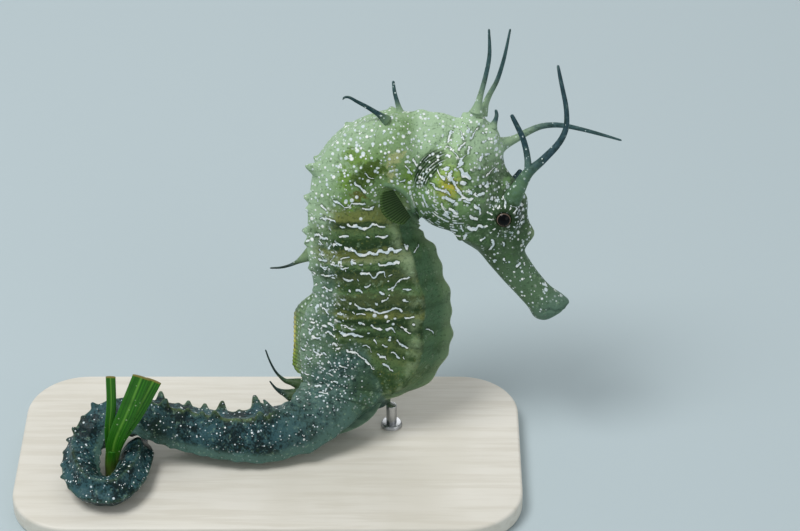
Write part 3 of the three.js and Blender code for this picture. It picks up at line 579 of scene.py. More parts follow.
feelers = {
    "feeler_coronet_right": {"root": "crown", "rise": 0.5, "line": [
        (19.9, 50.7, 0.8, 1.15), (20.0, 51.4, 0.8, 0.8), (20.2, 52.3, 0.8, 0.55), (20.5, 53.6, 0.9, 0.43),
        (21.1, 56.0, 1.0, 0.36), (21.7, 59.5, 1.0, 0.3), (21.6, 63.5, 0.9, 0.16)]},
    "feeler_coronet_left": {"root": "crown", "rise": 0.5, "line": [
        (20.7, 50.0, -0.8, 1.0), (21.0, 50.7, -0.8, 0.7), (21.3, 51.7, -0.9, 0.5),
        (21.8, 52.9, -1.0, 0.41), (22.9, 55.0, -1.2, 0.34), (23.9, 58.3, -1.3, 0.28),
        (24.8, 62.9, -1.4, 0.15)]},
    "feeler_crown": {"root": "crown", "rise": 0, "line": [
        (22.3, 48.4, 0.2, 0.8), (22.6, 49.1, 0.2, 0.45), (22.8, 49.7, 0.2, 0.33), (22.9, 50.3, 0.2, 0.28),
        (22.75, 51.1, 0.2, 0.2)]},
    "feeler_forehead": {"root": "crown", "rise": 0, "line": [
        (22.6, 44.7, -0.9, 1.7), (23.6, 45.3, -1.0, 1.2), (24.6, 45.7, -1.05, 0.82),
        (25.8, 46.2, -1.15, 0.61), (27.5, 47.15, -1.35, 0.53), (29.4, 47.95, -1.5, 0.46),
        (31.0, 48.15, -1.65, 0.42), (32.8, 48.05, -1.75, 0.38), (35.3, 47.5, -1.85, 0.32),
        (38.5, 46.6, -1.95, 0.25), (41.6, 45.65, -2.0, 0.14)]},
    "feeler_brow": {"root": "brow", "rise": 0, "line": [
        (24.6, 36.6, 1.5, 1.6), (25.4, 38.1, 2.0, 1.42), (26.1, 39.5, 2.3, 1.16),
        (26.8, 40.85, 2.4, 0.95), (27.55, 42.05, 2.45, 0.8), (28.35, 42.85, 2.5, 0.7),
        (29.3, 43.7, 2.55, 0.62), (30.5, 44.95, 2.6, 0.56), (31.7, 46.3, 2.6, 0.51),
        (32.55, 47.7, 2.6, 0.46), (33.0, 49.1, 2.55, 0.42), (33.05, 50.75, 2.5, 0.38),
        (32.85, 52.6, 2.45, 0.36), (32.5, 54.25, 2.4, 0.33), (32.0, 56.5, 2.4, 0.29),
        (31.6, 58.5, 2.4, 0.2)]},
    "feeler_brow_branch": {"root": "branch", "rise": 0, "line": [
        (27.65, 41.9, 2.4, 0.66), (27.55, 42.9, 2.4, 0.57), (27.48, 43.9, 2.4, 0.5),
        (27.2, 45.6, 2.4, 0.46), (26.65, 47.5, 2.4, 0.43), (25.9, 49.1, 2.4, 0.38),
        (25.3, 50.3, 2.4, 0.33), (24.95, 51.0, 2.4, 0.26)]},
    "feeler_nape_rear": {"root": "nape", "rise": 0.2, "line": [
        (6.9, 49.9, 2.2, 0.95), (6.1, 50.6, 2.35, 0.55), (5.2, 51.3, 2.45, 0.38), (4.0, 52.1, 2.5, 0.31),
        (2.4, 53.0, 2.5, 0.25), (1.2, 53.65, 2.5, 0.2), (0.6, 53.6, 2.5, 0.16), (0.35, 53.25, 2.5, 0.12)]},
    "feeler_nape_front": {"root": "crown", "rise": 0.3, "line": [
        (8.7, 50.2, -0.4, 0.85), (8.6, 50.9, -0.4, 0.5), (8.3, 52.0, -0.4, 0.35), (7.9, 53.6, -0.4, 0.29),
        (7.7, 55.3, -0.4, 0.2)]},
    "feeler_back": {"root": "back", "rise": 0.3, "line": [
        (-3.6, 29.2, 0.4, 1.7), (-4.6, 28.7, 0.5, 1.2), (-5.3, 28.3, 0.6, 0.85), (-6.0, 27.9, 0.7, 0.56),
        (-6.8, 27.45, 0.8, 0.32), (-7.8, 27.0, 0.85, 0.22), (-9.0, 26.7, 0.95, 0.18),
        (-10.8, 26.6, 1.0, 0.11)]},
    "feeler_tail_upper": {"root": "vent", "rise": 0.2, "line": [
        (-5.9, 7.3, 0.5, 1.2), (-6.9, 7.7, 0.5, 0.85), (-7.8, 7.95, 0.5, 0.55), (-8.7, 8.15, 0.5, 0.36),
        (-9.6, 8.9, 0.5, 0.23), (-10.3, 9.8, 0.5, 0.18), (-11.1, 11.5, 0.5, 0.15),
        (-11.7, 13.3, 0.5, 0.11)]},
    "feeler_tail_lower": {"root": "vent", "rise": 0.2, "line": [
        (-6.6, 5.9, 1.5, 1.5), (-8.0, 6.3, 1.6, 0.95), (-8.8, 6.6, 1.6, 0.6), (-9.5, 6.9, 1.6, 0.4),
        (-10.2, 7.4, 1.6, 0.22), (-11.1, 8.6, 1.6, 0.11)]},
    "brow_spine_left": {"root": "brow", "rise": 0, "line": [
        (24.6, 36.6, -1.5, 1.6), (25.4, 38.1, -2.0, 1.3), (26.0, 39.3, -2.3, 0.9),
        (26.4, 40.2, -2.4, 0.55), (26.7, 41.0, -2.4, 0.3)]},
}


def raiseFeelerRoots(points):
    for feeler in feelers.values():
        if feeler["rise"] == 0:
            continue
        start, onward = inBody(*feeler["line"][1][:3]), inBody(*feeler["line"][2][:3])
        away = np.linalg.norm(points - start, axis=-1)
        base = points[np.unravel_index(away.argmin(), away.shape)].copy()
        pull(points, base, onward - start, feeler["rise"], 2.2 * feeler["line"][1][3], 1.2)


print("skin: surface")
surface, places, angles, sides, frames = bodySurface()
raiseHead(surface)
raiseRings(surface, places, angles)
raiseTubercles(surface, places, angles, sides, frames)
raisePoints(surface, places, angles, sides)
raiseFeelerRoots(surface)
raiseTurret(surface)
restOnStand(surface)
surface[0] = surface[0].mean(axis=0)
surface[-1] = surface[-1].mean(axis=0)
lengths = np.interp(places, tablePlaces, tableLength)
placeValues = np.stack(np.broadcast_arrays(lengths[:, None], angles / 180, ringAt(places)[:, None]), -1)
print("skin: mesh")
skin = wrappedSkin("seahorse_skin", surface * mm, placeValues, skinGrid["bakeRows"])
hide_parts("snout", "head", "neck", "trunk_upper", "trunk_lower",
            "tail_1", "tail_2", "tail_3", "tail_4", "tail_5")


# Even steps along a curve: its points, their other values and its heading, and the length so far

curveSteps = 400


def evenly(points, shares):
    fine = alongCurve(points, np.linspace(0, len(points) - 1, curveSteps))
    length = np.concatenate([[0], np.cumsum(np.linalg.norm(np.diff(fine[:, :3], axis=0), axis=1))])
    reach = shares * length[-1]
    table = np.concatenate([fine, unit(np.gradient(fine[:, :3], axis=0))], axis=1)
    return np.stack([np.interp(reach, length, column) for column in table.T], -1), reach


def roundLine(name, line, rows, columns, flat, tipRound):
    shares = 1 - (1 - np.linspace(0, 1, rows + 1)) ** 1.15
    steps, reach = evenly(line, shares)
    centres, radii = steps[:, :3], steps[:, 3]
    tangents = unit(np.gradient(centres, axis=0))
    normal = unit(np.cross(tangents[0], [0.3, 0.9, 0.2]))
    ring = np.zeros((rows + 1, columns + 1, 3))
    turns = np.linspace(0, 2 * math.pi, columns + 1)
    for i in range(rows + 1):
        normal = unit(normal - normal @ tangents[i] * tangents[i])
        other = np.cross(tangents[i], normal)
        left = min((1 - shares[i]) / tipRound, 1)
        radius = radii[i] * math.sqrt(max(1 - (1 - left) ** 2, 0))
        circle = np.outer(np.cos(turns), normal) + flat * np.outer(np.sin(turns), other)
        ring[i] = centres[i] + radius * circle
    ring[0] = centres[0]
    share = turns / (2 * math.pi)
    values = np.stack(np.broadcast_arrays(reach[:, None], shares[:, None], share), -1)
    return wrappedSkin(name, ring * mm, values)


print("feelers")
feelerPieces = {}
for name, feeler in feelers.items():
    route = [(*inBody(*point[:3]), point[3]) for point in feeler["line"]]
    reach = np.linalg.norm(np.array(route[-1][:3]) - np.array(route[0][:3]))
    piece = roundLine(name + "_skin", route, 90, 20, 1.0, 0.25 / reach)
    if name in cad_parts:
        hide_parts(name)
    feelerPieces[name] = piece


cornea = {"rise": 0.06, "sharp": 8}


def eyeBall(name, side):
    bm = bmesh.new()
    bmesh.ops.create_uvsphere(bm, u_segments=64, v_segments=40, radius=eyes["radius"] * mm)
    out = Vector(leanSide * side)
    for vert in bm.verts:
        vert.co = vert.co.yzx
        away = vert.co.dot(out) / (eyes["radius"] * mm)
        vert.co += out * cornea["rise"] * mm * max(away, 0) ** cornea["sharp"]
    centre = Vector(inBody(eyes["forward"], eyes["height"], side * eyes["side"]) * mm)
    bmesh.ops.translate(bm, vec=centre, verts=bm.verts)
    return finished(name, bm)


print("eyes")
eyePieces = []
for name, side in (("eye_right", 1), ("eye_left", -1)):
    ball = eyeBall(name + "_ball", side)
    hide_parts(name)
    eyePieces.append(ball)


def finSheet(name, fin, pointAt):
    bm = bmesh.new()
    bmesh.ops.create_grid(bm, x_segments=fin["grid"][0], y_segments=fin["grid"][1], size=1)
    layer = bm.verts.layers.float_vector.new("finPlace")
    for vert in bm.verts:
        along, out = (vert.co.x + 1) / 2, (vert.co.y + 1) / 2
        vert.co = Vector(pointAt(along, out) * mm)
        vert[layer] = (along, out, 0)
    bmesh.ops.recalc_face_normals(bm, faces=bm.faces)
    piece = finished(name, bm)
    wall = piece.modifiers.new("thickness", "SOLIDIFY")
    wall.thickness = fin["thickness"] * mm
    wall.offset = 0
    return piece


pectoral = {
    "rays": 16, "top": (7.7, 40.4), "bottom": (10.3, 36.2), "length": 3.15, "away": 5.35,
    "heading": 188, "spread": 40, "lean": 0.35, "thickness": 0.14, "grid": (120, 16),
    "shortest": 0.45, "arch": 0.8, "ripple": 0.02, "relief": 0.035, "wave": 0.12, "waves": 5,
}
dorsal = {
    "rays": 19, "first": -4.5, "last": -0.7, "reach": 2.75, "thickness": 0.16, "grid": (190, 16),
    "sunk": 0.1, "ripple": 0.006, "relief": 0.035, "wave": 0.25, "waves": 7,
}
dorsalAway = unit(-0.82 * leanSide - 0.57 * forwardWay)
dorsalFace = unit(np.cross(leanUp, dorsalAway))
anal = {
    "first": 0.6, "last": 2.6, "rays": 4, "thickness": 0.16, "grid": (40, 8),
    "sunk": 0.25, "shortest": 0.55, "arch": 1.15,
}


def pectoralPoint(side):
    def pointAt(along, out):
        heading = math.radians(pectoral["heading"] + pectoral["spread"] * along)
        fold = math.sin(2 * math.pi * pectoral["rays"] * along)
        arch = (1 - pectoral["shortest"]) * math.sin(math.pi * along) ** pectoral["arch"]
        length = pectoral["length"] * (pectoral["shortest"] + arch) * out
        length *= 1 + pectoral["ripple"] * fold
        root = [a + (b - a) * along for a, b in zip(pectoral["top"], pectoral["bottom"])]
        sway = pectoral["relief"] * fold + pectoral["wave"] * math.sin(pectoral["waves"] * along)
        lift = pectoral["away"] + out * (pectoral["lean"] + sway)
        forward, height = root[0] + length * math.cos(heading), root[1] + length * math.sin(heading)
        return inBody(forward, height, side * lift)
    return pointAt


# The root of a fin along the body, with the way down from there

def finRow(fin, count, angle):
    shares = np.linspace(0, 1, count)
    places = placeOfRing(fin["first"] + (fin["last"] - fin["first"]) * shares)
    frames = sectionFrames(places)
    table = np.concatenate([bodyPoints(places, [angle], frames)[:, 0], -frames["dorsal"]], axis=1)
    return lambda along: np.array([np.interp(along, shares, column) for column in table.T])


dorsalRow = finRow(dorsal, 200, 0)
analRow = finRow(anal, 60, 180)


def dorsalPoint(along, out):
    rise = min(1, 0.1 + along / 0.3) ** 0.7 * min(1, 0.3 + (1 - along) / 0.12) ** 0.5
    fold = math.sin(2 * math.pi * dorsal["rays"] * along)
    reach = dorsal["reach"] * rise * out * (1 + dorsal["ripple"] * fold)
    sway = out * (dorsal["relief"] * fold + dorsal["wave"] * math.sin(dorsal["waves"] * along + 1))
    return dorsalRow(along)[:3] + (reach - dorsal["sunk"]) * dorsalAway + sway * dorsalFace


def analPoint(along, out):
    row = analRow(along)
    reach = out * (anal["shortest"] + anal["arch"] * math.sin(math.pi * along)) - anal["sunk"]
    return row[:3] + reach * row[3:]


print("fins")
pectoralRight = finSheet("pectoral_fin_right_rays", pectoral, pectoralPoint(1))
pectoralLeft = finSheet("pectoral_fin_left_rays", pectoral, pectoralPoint(-1))
dorsalSheet = finSheet("dorsal_fin_rays", dorsal, dorsalPoint)
analSheet = finSheet("anal_fin_rays", anal, analPoint)
for piece, node in ((pectoralRight, "pectoral_fin_right"), (pectoralLeft, "pectoral_fin_left"),
                    (dorsalSheet, "dorsal_fin"), (analSheet, "anal_fin")):
    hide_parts(node)


# Seagrass: the middle line of each blade from the stem's foot, half its width at the root and above

stem = fromFoot(pose["stem"][0], pose["stem"][1], 0)
blades = {
    "bladeRight": {"root": 0.85, "tip": 1.35, "line": [
        (0.1, -0.1, 1.2), (0.4, -0.3, 4), (0.95, -0.4, 7), (3.1, -0.5, 12.5), (5.6, -0.3, 19)]},
    "bladeMiddle": {"root": 0.8, "tip": 1.2, "line": [
        (0.2, 0.2, 1.2), (0.55, 0.2, 4), (1.5, 0.2, 7), (4.4, 0.4, 12), (7.2, 0.8, 17.5)]},
    "bladeBack": {"root": 0.6, "tip": 0.72, "line": [
        (-0.2, 0.4, 1.2), (0.0, 0.5, 4), (0.1, 0.6, 8), (0.7, 0.8, 13), (0.9, 1.0, 18)]},
}
bladeForm = {"rows": 70, "columns": 20, "halfThickness": 0.16, "curl": 0.1}
sheathLine = [(0, 0, 0.02, 0.95), (0.05, 0, 2.5, 0.92), (0.3, 0, 5.2, 0.84)]


def bladeSkin(name, blade):
    shares = np.concatenate([[0], np.linspace(0, 1, bladeForm["rows"] + 1), [1]])
    steps, reach = evenly(stem + np.asarray(blade["line"], float), shares)
    turns = np.linspace(0, 2 * math.pi, bladeForm["columns"] + 1)
    ring = np.zeros((len(shares), len(turns), 3))
    for i, share in enumerate(shares):
        centre, head = steps[i, :3], steps[i, 3:]
        across = unit(np.cross([0, -1, 0], head))
        through = unit(np.cross(head, across))
        half = blade["root"] + (blade["tip"] - blade["root"]) * min(1, 2 * share)
        half *= i not in (0, len(shares) - 1)
        wide = np.sign(np.cos(turns)) * np.abs(np.cos(turns)) ** 0.6
        thick = np.sign(np.sin(turns)) * np.abs(np.sin(turns)) ** 0.7
        thick *= bladeForm["halfThickness"] * (half > 0)
        curl = bladeForm["curl"] * half * wide ** 2
        ring[i] = centre + np.outer(half * wide, across) + np.outer(thick + curl, through)
    values = np.stack(np.broadcast_arrays(reach[:, None], shares[:, None], np.cos(turns)), -1)
    return wrappedSkin(name, ring * mm, values)


print("seagrass")
route = [(*(stem + np.array(point[:3])), point[3]) for point in sheathLine]
sheath = roundLine("seagrass_sheath", route, 30, 24, 0.8, 0.02)
bladePieces = [bladeSkin("seagrass_" + name, blade) for name, blade in blades.items()]
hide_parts("perch_seagrass")


stand = {
    "edge": 0.5, "edgeSteps": 4, "rodRadius": 0.8, "rodEdge": 0.12, "collar": 1.7, "collarTop": 1.462,
    "collarHeight": 0.6, "collarEdge": 0.1, "sides": 48,
}


def roundEdges(bm, sharper, width, steps):
    rims = [e for e in bm.edges if len(e.link_faces) == 2 and e.calc_face_angle(0) > sharper]
    bmesh.ops.bevel(bm, geom=rims, offset=width * mm, segments=steps, profile=0.5, affect="EDGES",
                    material=-1)


def standBase():
    bm = bmesh.new()
    bm.from_mesh(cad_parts["stand_base"].data)
    bmesh.ops.remove_doubles(bm, verts=bm.verts, dist=1e-6)
    bmesh.ops.dissolve_limit(bm, angle_limit=0.01, verts=bm.verts, edges=bm.edges)
    roundEdges(bm, 1.2, stand["edge"], stand["edgeSteps"])
    return finished("stand_base_wood", bm)


def turned(name, foot, height, radius, topRadius, edge):
    bm = bmesh.new()
    bmesh.ops.create_cone(bm, cap_ends=True, segments=stand["sides"], radius1=radius * mm,
                          radius2=topRadius * mm, depth=height)
    roundEdges(bm, 0.8, edge, 3)
    bmesh.ops.translate(bm, vec=foot + Vector((0, 0, height / 2)), verts=bm.verts)
    return finished(name, bm)


def standRod():
    low, high = [Vector(corner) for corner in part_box("stand_rod")]
    foot = Vector(((low.x + high.x) / 2, (low.y + high.y) / 2, low.z))
    radius = stand["rodRadius"]
    rod = turned("stand_rod_steel", foot, high.z - low.z, radius, radius, stand["rodEdge"])
    return rod, turned("stand_rod_collar", foot, stand["collarHeight"] * mm, stand["collar"],
                       stand["collarTop"], stand["collarEdge"])


print("stand")
basePiece = standBase()
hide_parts("stand_base")
rodPiece, collarPiece = standRod()
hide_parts("stand_rod")


# Materials: every look is made of shader nodes

def srgb(red, green, blue):
    def plain(value):
        value /= 255
        return value / 12.92 if value <= 0.04045 else ((value + 0.055) / 1.055) ** 2.4
    return (plain(red), plain(green), plain(blue), 1.0)


class Finish:
    def __init__(self, name, tones):
        self.tones = tones
        self.material = bpy.data.materials.new(name)
        self.material.use_nodes = True
        self.tree = self.material.node_tree
        self.shader = self.tree.nodes["Principled BSDF"]

    def feed(self, socket, value):
        if isinstance(value, bpy.types.NodeSocket):
            self.tree.links.new(value, socket)
        elif value is not None:
            socket.default_value = value

    def node(self, kind, settings=None, **inputs):
        made = self.tree.nodes.new(kind)
        for key, value in (settings or {}).items():
            setattr(made, key, value)
        for key, value in inputs.items():
            self.feed(made.inputs[key], value)
        return made

    def calc(self, operation, *values):
        made = self.node("ShaderNodeMath", {"operation": operation})
        for socket, value in zip(made.inputs, values):
            self.feed(socket, value)
        return made.outputs[0]

    def chain(self, operation, values):
        result = values[0]
        for value in values[1:]:
            result = self.calc(operation, result, value)
        return result

    def add(self, *values):
        return self.chain("ADD", values)

    def times(self, *values):
        return self.chain("MULTIPLY", values)

    def top(self, *values):
        return self.chain("MAXIMUM", values)

    def minus(self, a, b):
        return self.calc("SUBTRACT", a, b)

    def over(self, a, b):
        return self.calc("DIVIDE", a, b)

    def less(self, value):
        return self.minus(1.0, value)

    def size(self, value):
        return self.calc("ABSOLUTE", value)

    def smooth(self, value, low, high, start=0.0, end=1.0):
        made = self.node("ShaderNodeMapRange", {"interpolation_type": "SMOOTHSTEP"})
        for socket, given in zip(made.inputs, (value, low, high, start, end)):
            self.feed(socket, given)
        return made.outputs[0]

    def near(self, value, centre, width):
        gap = self.over(self.minus(value, centre), width)
        return self.calc("EXPONENT", self.times(gap, gap, -1.0))

    def mix(self, amount, a, b):
        made = self.node("ShaderNodeMix", {"data_type": "RGBA"})
        self.feed(made.inputs[0], amount)
        self.feed(made.inputs[6], a)
        self.feed(made.inputs[7], b)
        return made.outputs[2]

    def color(self, tone):
        return srgb(*self.tones[tone])

    def tint(self, base, amount, tone):
        return self.mix(amount, base, self.color(tone))

    def split(self, vector):
        return self.node("ShaderNodeSeparateXYZ", Vector=vector).outputs

    def join(self, x, y, z):
        return self.node("ShaderNodeCombineXYZ", X=x, Y=y, Z=z).outputs[0]

    def noise(self, vector, scale, detail=2.0, rough=0.5, output=0):
        made = self.node("ShaderNodeTexNoise", Vector=vector, Scale=scale, Detail=detail, Roughness=rough)
        return made.outputs[output]

    def cells(self, vector, scale, feature="F1"):
        return self.node("ShaderNodeTexVoronoi", {"feature": feature}, Vector=vector, Scale=scale)

    def dots(self, vector, spacing, radius, soft=0.35):
        distance = self.cells(vector, 1 / spacing).outputs["Distance"]
        size = radius / spacing
        return self.smooth(distance, size * (1 - soft), size * (1 + soft), 1.0, 0.0)

    def scattered(self, vector, spacing, radius, keep, soft=0.3):
        cell = self.cells(vector, 1 / spacing)
        size, chance, _ = self.split(cell.outputs["Color"])
        limit = self.times(radius / spacing, self.add(0.55, self.times(size, 0.75)))
        dot = self.smooth(self.over(cell.outputs["Distance"], limit), 1 - soft, 1 + soft, 1.0, 0.0)
        return self.times(dot, self.calc("LESS_THAN", chance, keep))

    def vector(self, operation, a, b, output="Vector"):
        made = self.node("ShaderNodeVectorMath", {"operation": operation})
        self.feed(made.inputs[0], a)
        self.feed(made.inputs[1], b)
        return made.outputs[output]

    def toLine(self, spot, line):
        nearest = None
        for (f0, h0), (f1, h1) in zip(line, line[1:]):
            span = (f1 - f0, h1 - h0, 0)
            away = self.vector("SUBTRACT", spot, (f0, h0, 0))
            square = span[0] ** 2 + span[1] ** 2
            share = self.times(self.vector("DOT_PRODUCT", away, span, "Value"), 1 / square)
            share = self.calc("MINIMUM", self.top(share, 0.0), 1.0)
            foot = self.vector("MULTIPLY", span, self.join(share, share, 0.0))
            gap = self.vector("DISTANCE", away, foot, "Value")
            nearest = gap if nearest is None else self.calc("MINIMUM", nearest, gap)
        return nearest

    def curve(self, value, points, smooth=False):
        made = self.node("ShaderNodeFloatCurve", Value=value)
        mapping = made.mapping
        mapping.extend = "HORIZONTAL"
        line = mapping.curves[0]
        line.points[0].location = points[0]
        line.points[-1].location = points[-1]
        for point in points[1:-1]:
            line.points.new(*point)
        for point in line.points:
            point.handle_type = "AUTO" if smooth else "VECTOR"
        mapping.update()
        return made.outputs[0]

    # How deep a spot lies inside strokes that run mostly one way, in mm; below zero is outside

    def strokes(self, along, across, rows, low, high, swell):
        span, swing, outside, reach = high - low, 5.0, 0.3, 0.7
        share = self.calc("MULTIPLY_ADD", along, 1 / span, -low / span)
        depth = None
        for row in rows:
            row = sorted(row, key=lambda stroke: stroke[1][0][0])
            spots = [spot for _, line in row for spot in line]
            level = sum(b for _, b in spots) / len(spots)
            centre = [((a - low) / span, 0.5 + (b - level) / (2 * swing)) for a, b in spots]
            width = [(0.0, 0.0)]
            for half, line in row:
                first, last = line[0][0], line[-1][0]
                taper = min(0.2, (last - first) * 0.3)
                ends = ((first - 0.06, -outside), (first, half * 0.6), (first + taper, half),
                        (last - taper, half), (last, half * 0.5), (last + 0.06, -outside))
                width += [((place - low) / span, (value + outside) / reach) for place, value in ends]
            width.append((1.0, 0.0))
            middle = self.curve(share, [(0.0, centre[0][1])] + centre + [(1.0, centre[-1][1])], True)
            middle = self.calc("MULTIPLY_ADD", middle, 2 * swing, level - swing)
            wide = self.calc("MULTIPLY_ADD", self.curve(share, width), reach, -outside)
            inside = self.minus(self.times(wide, swell), self.size(self.minus(across, middle)))
            depth = inside if depth is None else self.top(depth, inside)
        return depth

    def ramp(self, value, low, high, stops):
        made = self.node("ShaderNodeValToRGB", Fac=self.over(self.minus(value, low), high - low))
        colors = made.color_ramp
        for element, (place, color) in zip(colors.elements, (stops[0], stops[-1])):
            element.position = (place - low) / (high - low)
            element.color = color
        for place, color in stops[1:-1]:
            colors.elements.new((place - low) / (high - low)).color = color
        return made.outputs[0]

    def attribute(self, name):
        return self.split(self.node("ShaderNodeAttribute", {"attribute_name": name}).outputs["Vector"])

    # Forward, to the left and up in the plane of the head and trunk, in mm

    def plane(self):
        spot = self.node("ShaderNodeTexCoord").outputs["Object"]
        made = self.node("ShaderNodeMapping", {"vector_type": "POINT"}, Vector=spot)
        made.inputs["Scale"].default_value = (1 / mm, 1 / mm, 1 / mm)
        made.inputs["Rotation"].default_value = (lean, 0, 0)
        shift = (-trunkFoot[0], trunkFoot @ leanSide, -trunkFoot @ leanUp)
        made.inputs["Location"].default_value = shift
        return made.outputs[0]

    def stretched(self, scales, detail, rough=0.5):
        spot = self.node("ShaderNodeTexCoord").outputs["Object"]
        return self.noise(self.vector("MULTIPLY", spot, scales), 1.0, detail, rough)

    def away(self, forward, height, place):
        toward, up = self.minus(forward, place["forward"]), self.minus(height, place["height"])
        return toward, up, self.calc("SQRT", self.add(self.times(toward, toward), self.times(up, up)))

    # Even lanes of a value: each one's number, the share of its width, and a noise along it

    def lanes(self, value, spacing):
        count = self.over(value, spacing)
        index = self.calc("FLOOR", count)
        return index, self.minus(count, index)

    def laneNoise(self, value, stretch, index, step, seed):
        return self.noise(self.join(self.times(value, stretch), self.times(index, step), seed), 1.0, 1.0)

    def bump(self, height, distance, strength, below=None):
        made = self.node("ShaderNodeBump", Height=height, Strength=strength, Distance=distance * mm)
        self.feed(made.inputs["Normal"], below)
        return made.outputs[0]

    def finish(self, base, roughness, **values):
        for key, value in {"Base_Color": base, "Roughness": roughness, **values}.items():
            self.feed(self.shader.inputs[key.replace("_", " ")], value)
        return self.material


# Tones of the skin. Laid over the back and the top of the head, the back and crown tones are partly the
# skin's own pale colour and partly painted light from above
skinColors = {
    "back": (162, 190, 154), "shoulder": (118, 150, 94), "flank": (86, 114, 70), "amber": (116, 124, 66),
    "dark": (34, 58, 30), "deep": (28, 46, 22), "keel": (76, 108, 76), "ridge": (148, 168, 128),
    "slateTop": (52, 86, 92), "slate": (14, 34, 36), "slateLow": (88, 122, 112), "root": (82, 112, 104),
    "crown": (168, 196, 160), "head": (112, 146, 96), "gold": (200, 188, 62), "green": (152, 190, 92),
    "mask": (56, 84, 52), "brown": (104, 112, 104), "snout": (88, 116, 86), "snoutEnd": (90, 118, 102),
    "mark": (252, 255, 253), "shade": (216, 229, 234), "stria": (18, 40, 16), "crescent": (110, 142, 108),
    "olive": (92, 112, 66), "earth": (78, 92, 56), "pale": (134, 148, 106), "moss": (50, 76, 38),
    "leaf": (106, 140, 52), "bronze": (68, 90, 20), "rust": (92, 92, 34), "cream": (178, 184, 128),
    # Near-black green, used only for the painted shadow on the tail's coil
    "paintedShadow": (12, 34, 20),
}

# Bands across the trunk's sides, by height

flankBands = [
    (11.5, "moss"), (13.0, "flank"), (14.2, "olive"), (15.4, "moss"), (16.4, "olive"), (17.3, "dark"),
    (18.3, "flank"), (19.1, "dark"), (19.8, "moss"), (20.5, "amber"), (21.5, "dark"), (22.4, "earth"),
    (23.5, "earth"), (24.2, "flank"), (25.2, "moss"), (26.4, "earth"), (27.6, "dark"), (28.5, "flank"),
    (29.2, "pale"), (30.2, "amber"), (31.1, "dark"), (32.5, "moss"), (33.3, "flank"), (34.2, "olive"),
    (34.9, "dark"), (35.5, "amber"), (36.8, "amber"), (37.7, "olive"), (38.6, "flank"), (39.4, "flank"),
]

# Blotches of the shoulder: tone, forward, height, half the width and the height, strength

shoulderPatches = [
    ("leaf", 2.2, 45.0, 2.0, 1.3, 1.0), ("leaf", 0.6, 42.0, 1.2, 1.7, 0.9),
    ("leaf", 1.6, 38.2, 2.0, 1.3, 0.9), ("cream", 7.9, 44.9, 1.7, 1.3, 0.9),
    ("cream", 7.4, 42.6, 1.3, 0.9, 0.7), ("leaf", 10.2, 41.6, 1.3, 2.2, 0.8),
    ("bronze", 4.9, 43.6, 2.0, 1.3, 1.4), ("bronze", 3.2, 41.9, 1.7, 1.5, 1.3),
    ("rust", 2.6, 39.2, 1.3, 1.0, 1.0), ("shoulder", 6.2, 39.6, 2.6, 1.6, 0.9),
]
shoulderRows = [
    [(0.1, [(3.5, 42.6), (4.3, 42.1), (4.9, 41.9)]), (0.15, [(9.4, 43.8), (10.0, 42.9), (10.45, 42.4)])],
    [(0.24, [(1.9, 41.3), (2.8, 40.6), (3.7, 39.9)]), (0.17, [(8.6, 41.25), (9.4, 41.45)]),
     (0.26, [(10.5, 44.5), (11.3, 43.7)])],
]

# Where the tail's slate begins: the height at which it starts, by forward place

tailEdge = [(-8.0, 12.0), (-5.6, 9.4), (-3.8, 11.2), (-1.3, 14.2), (1.2, 15.6), (3.2, 14.6), (4.8, 11.5),
            (6.0, 7.5), (7.0, 3.0), (8.0, 0.0)]

# White lines on the trunk's sides: rows of strokes, each with half its width and its
# course as forward and height

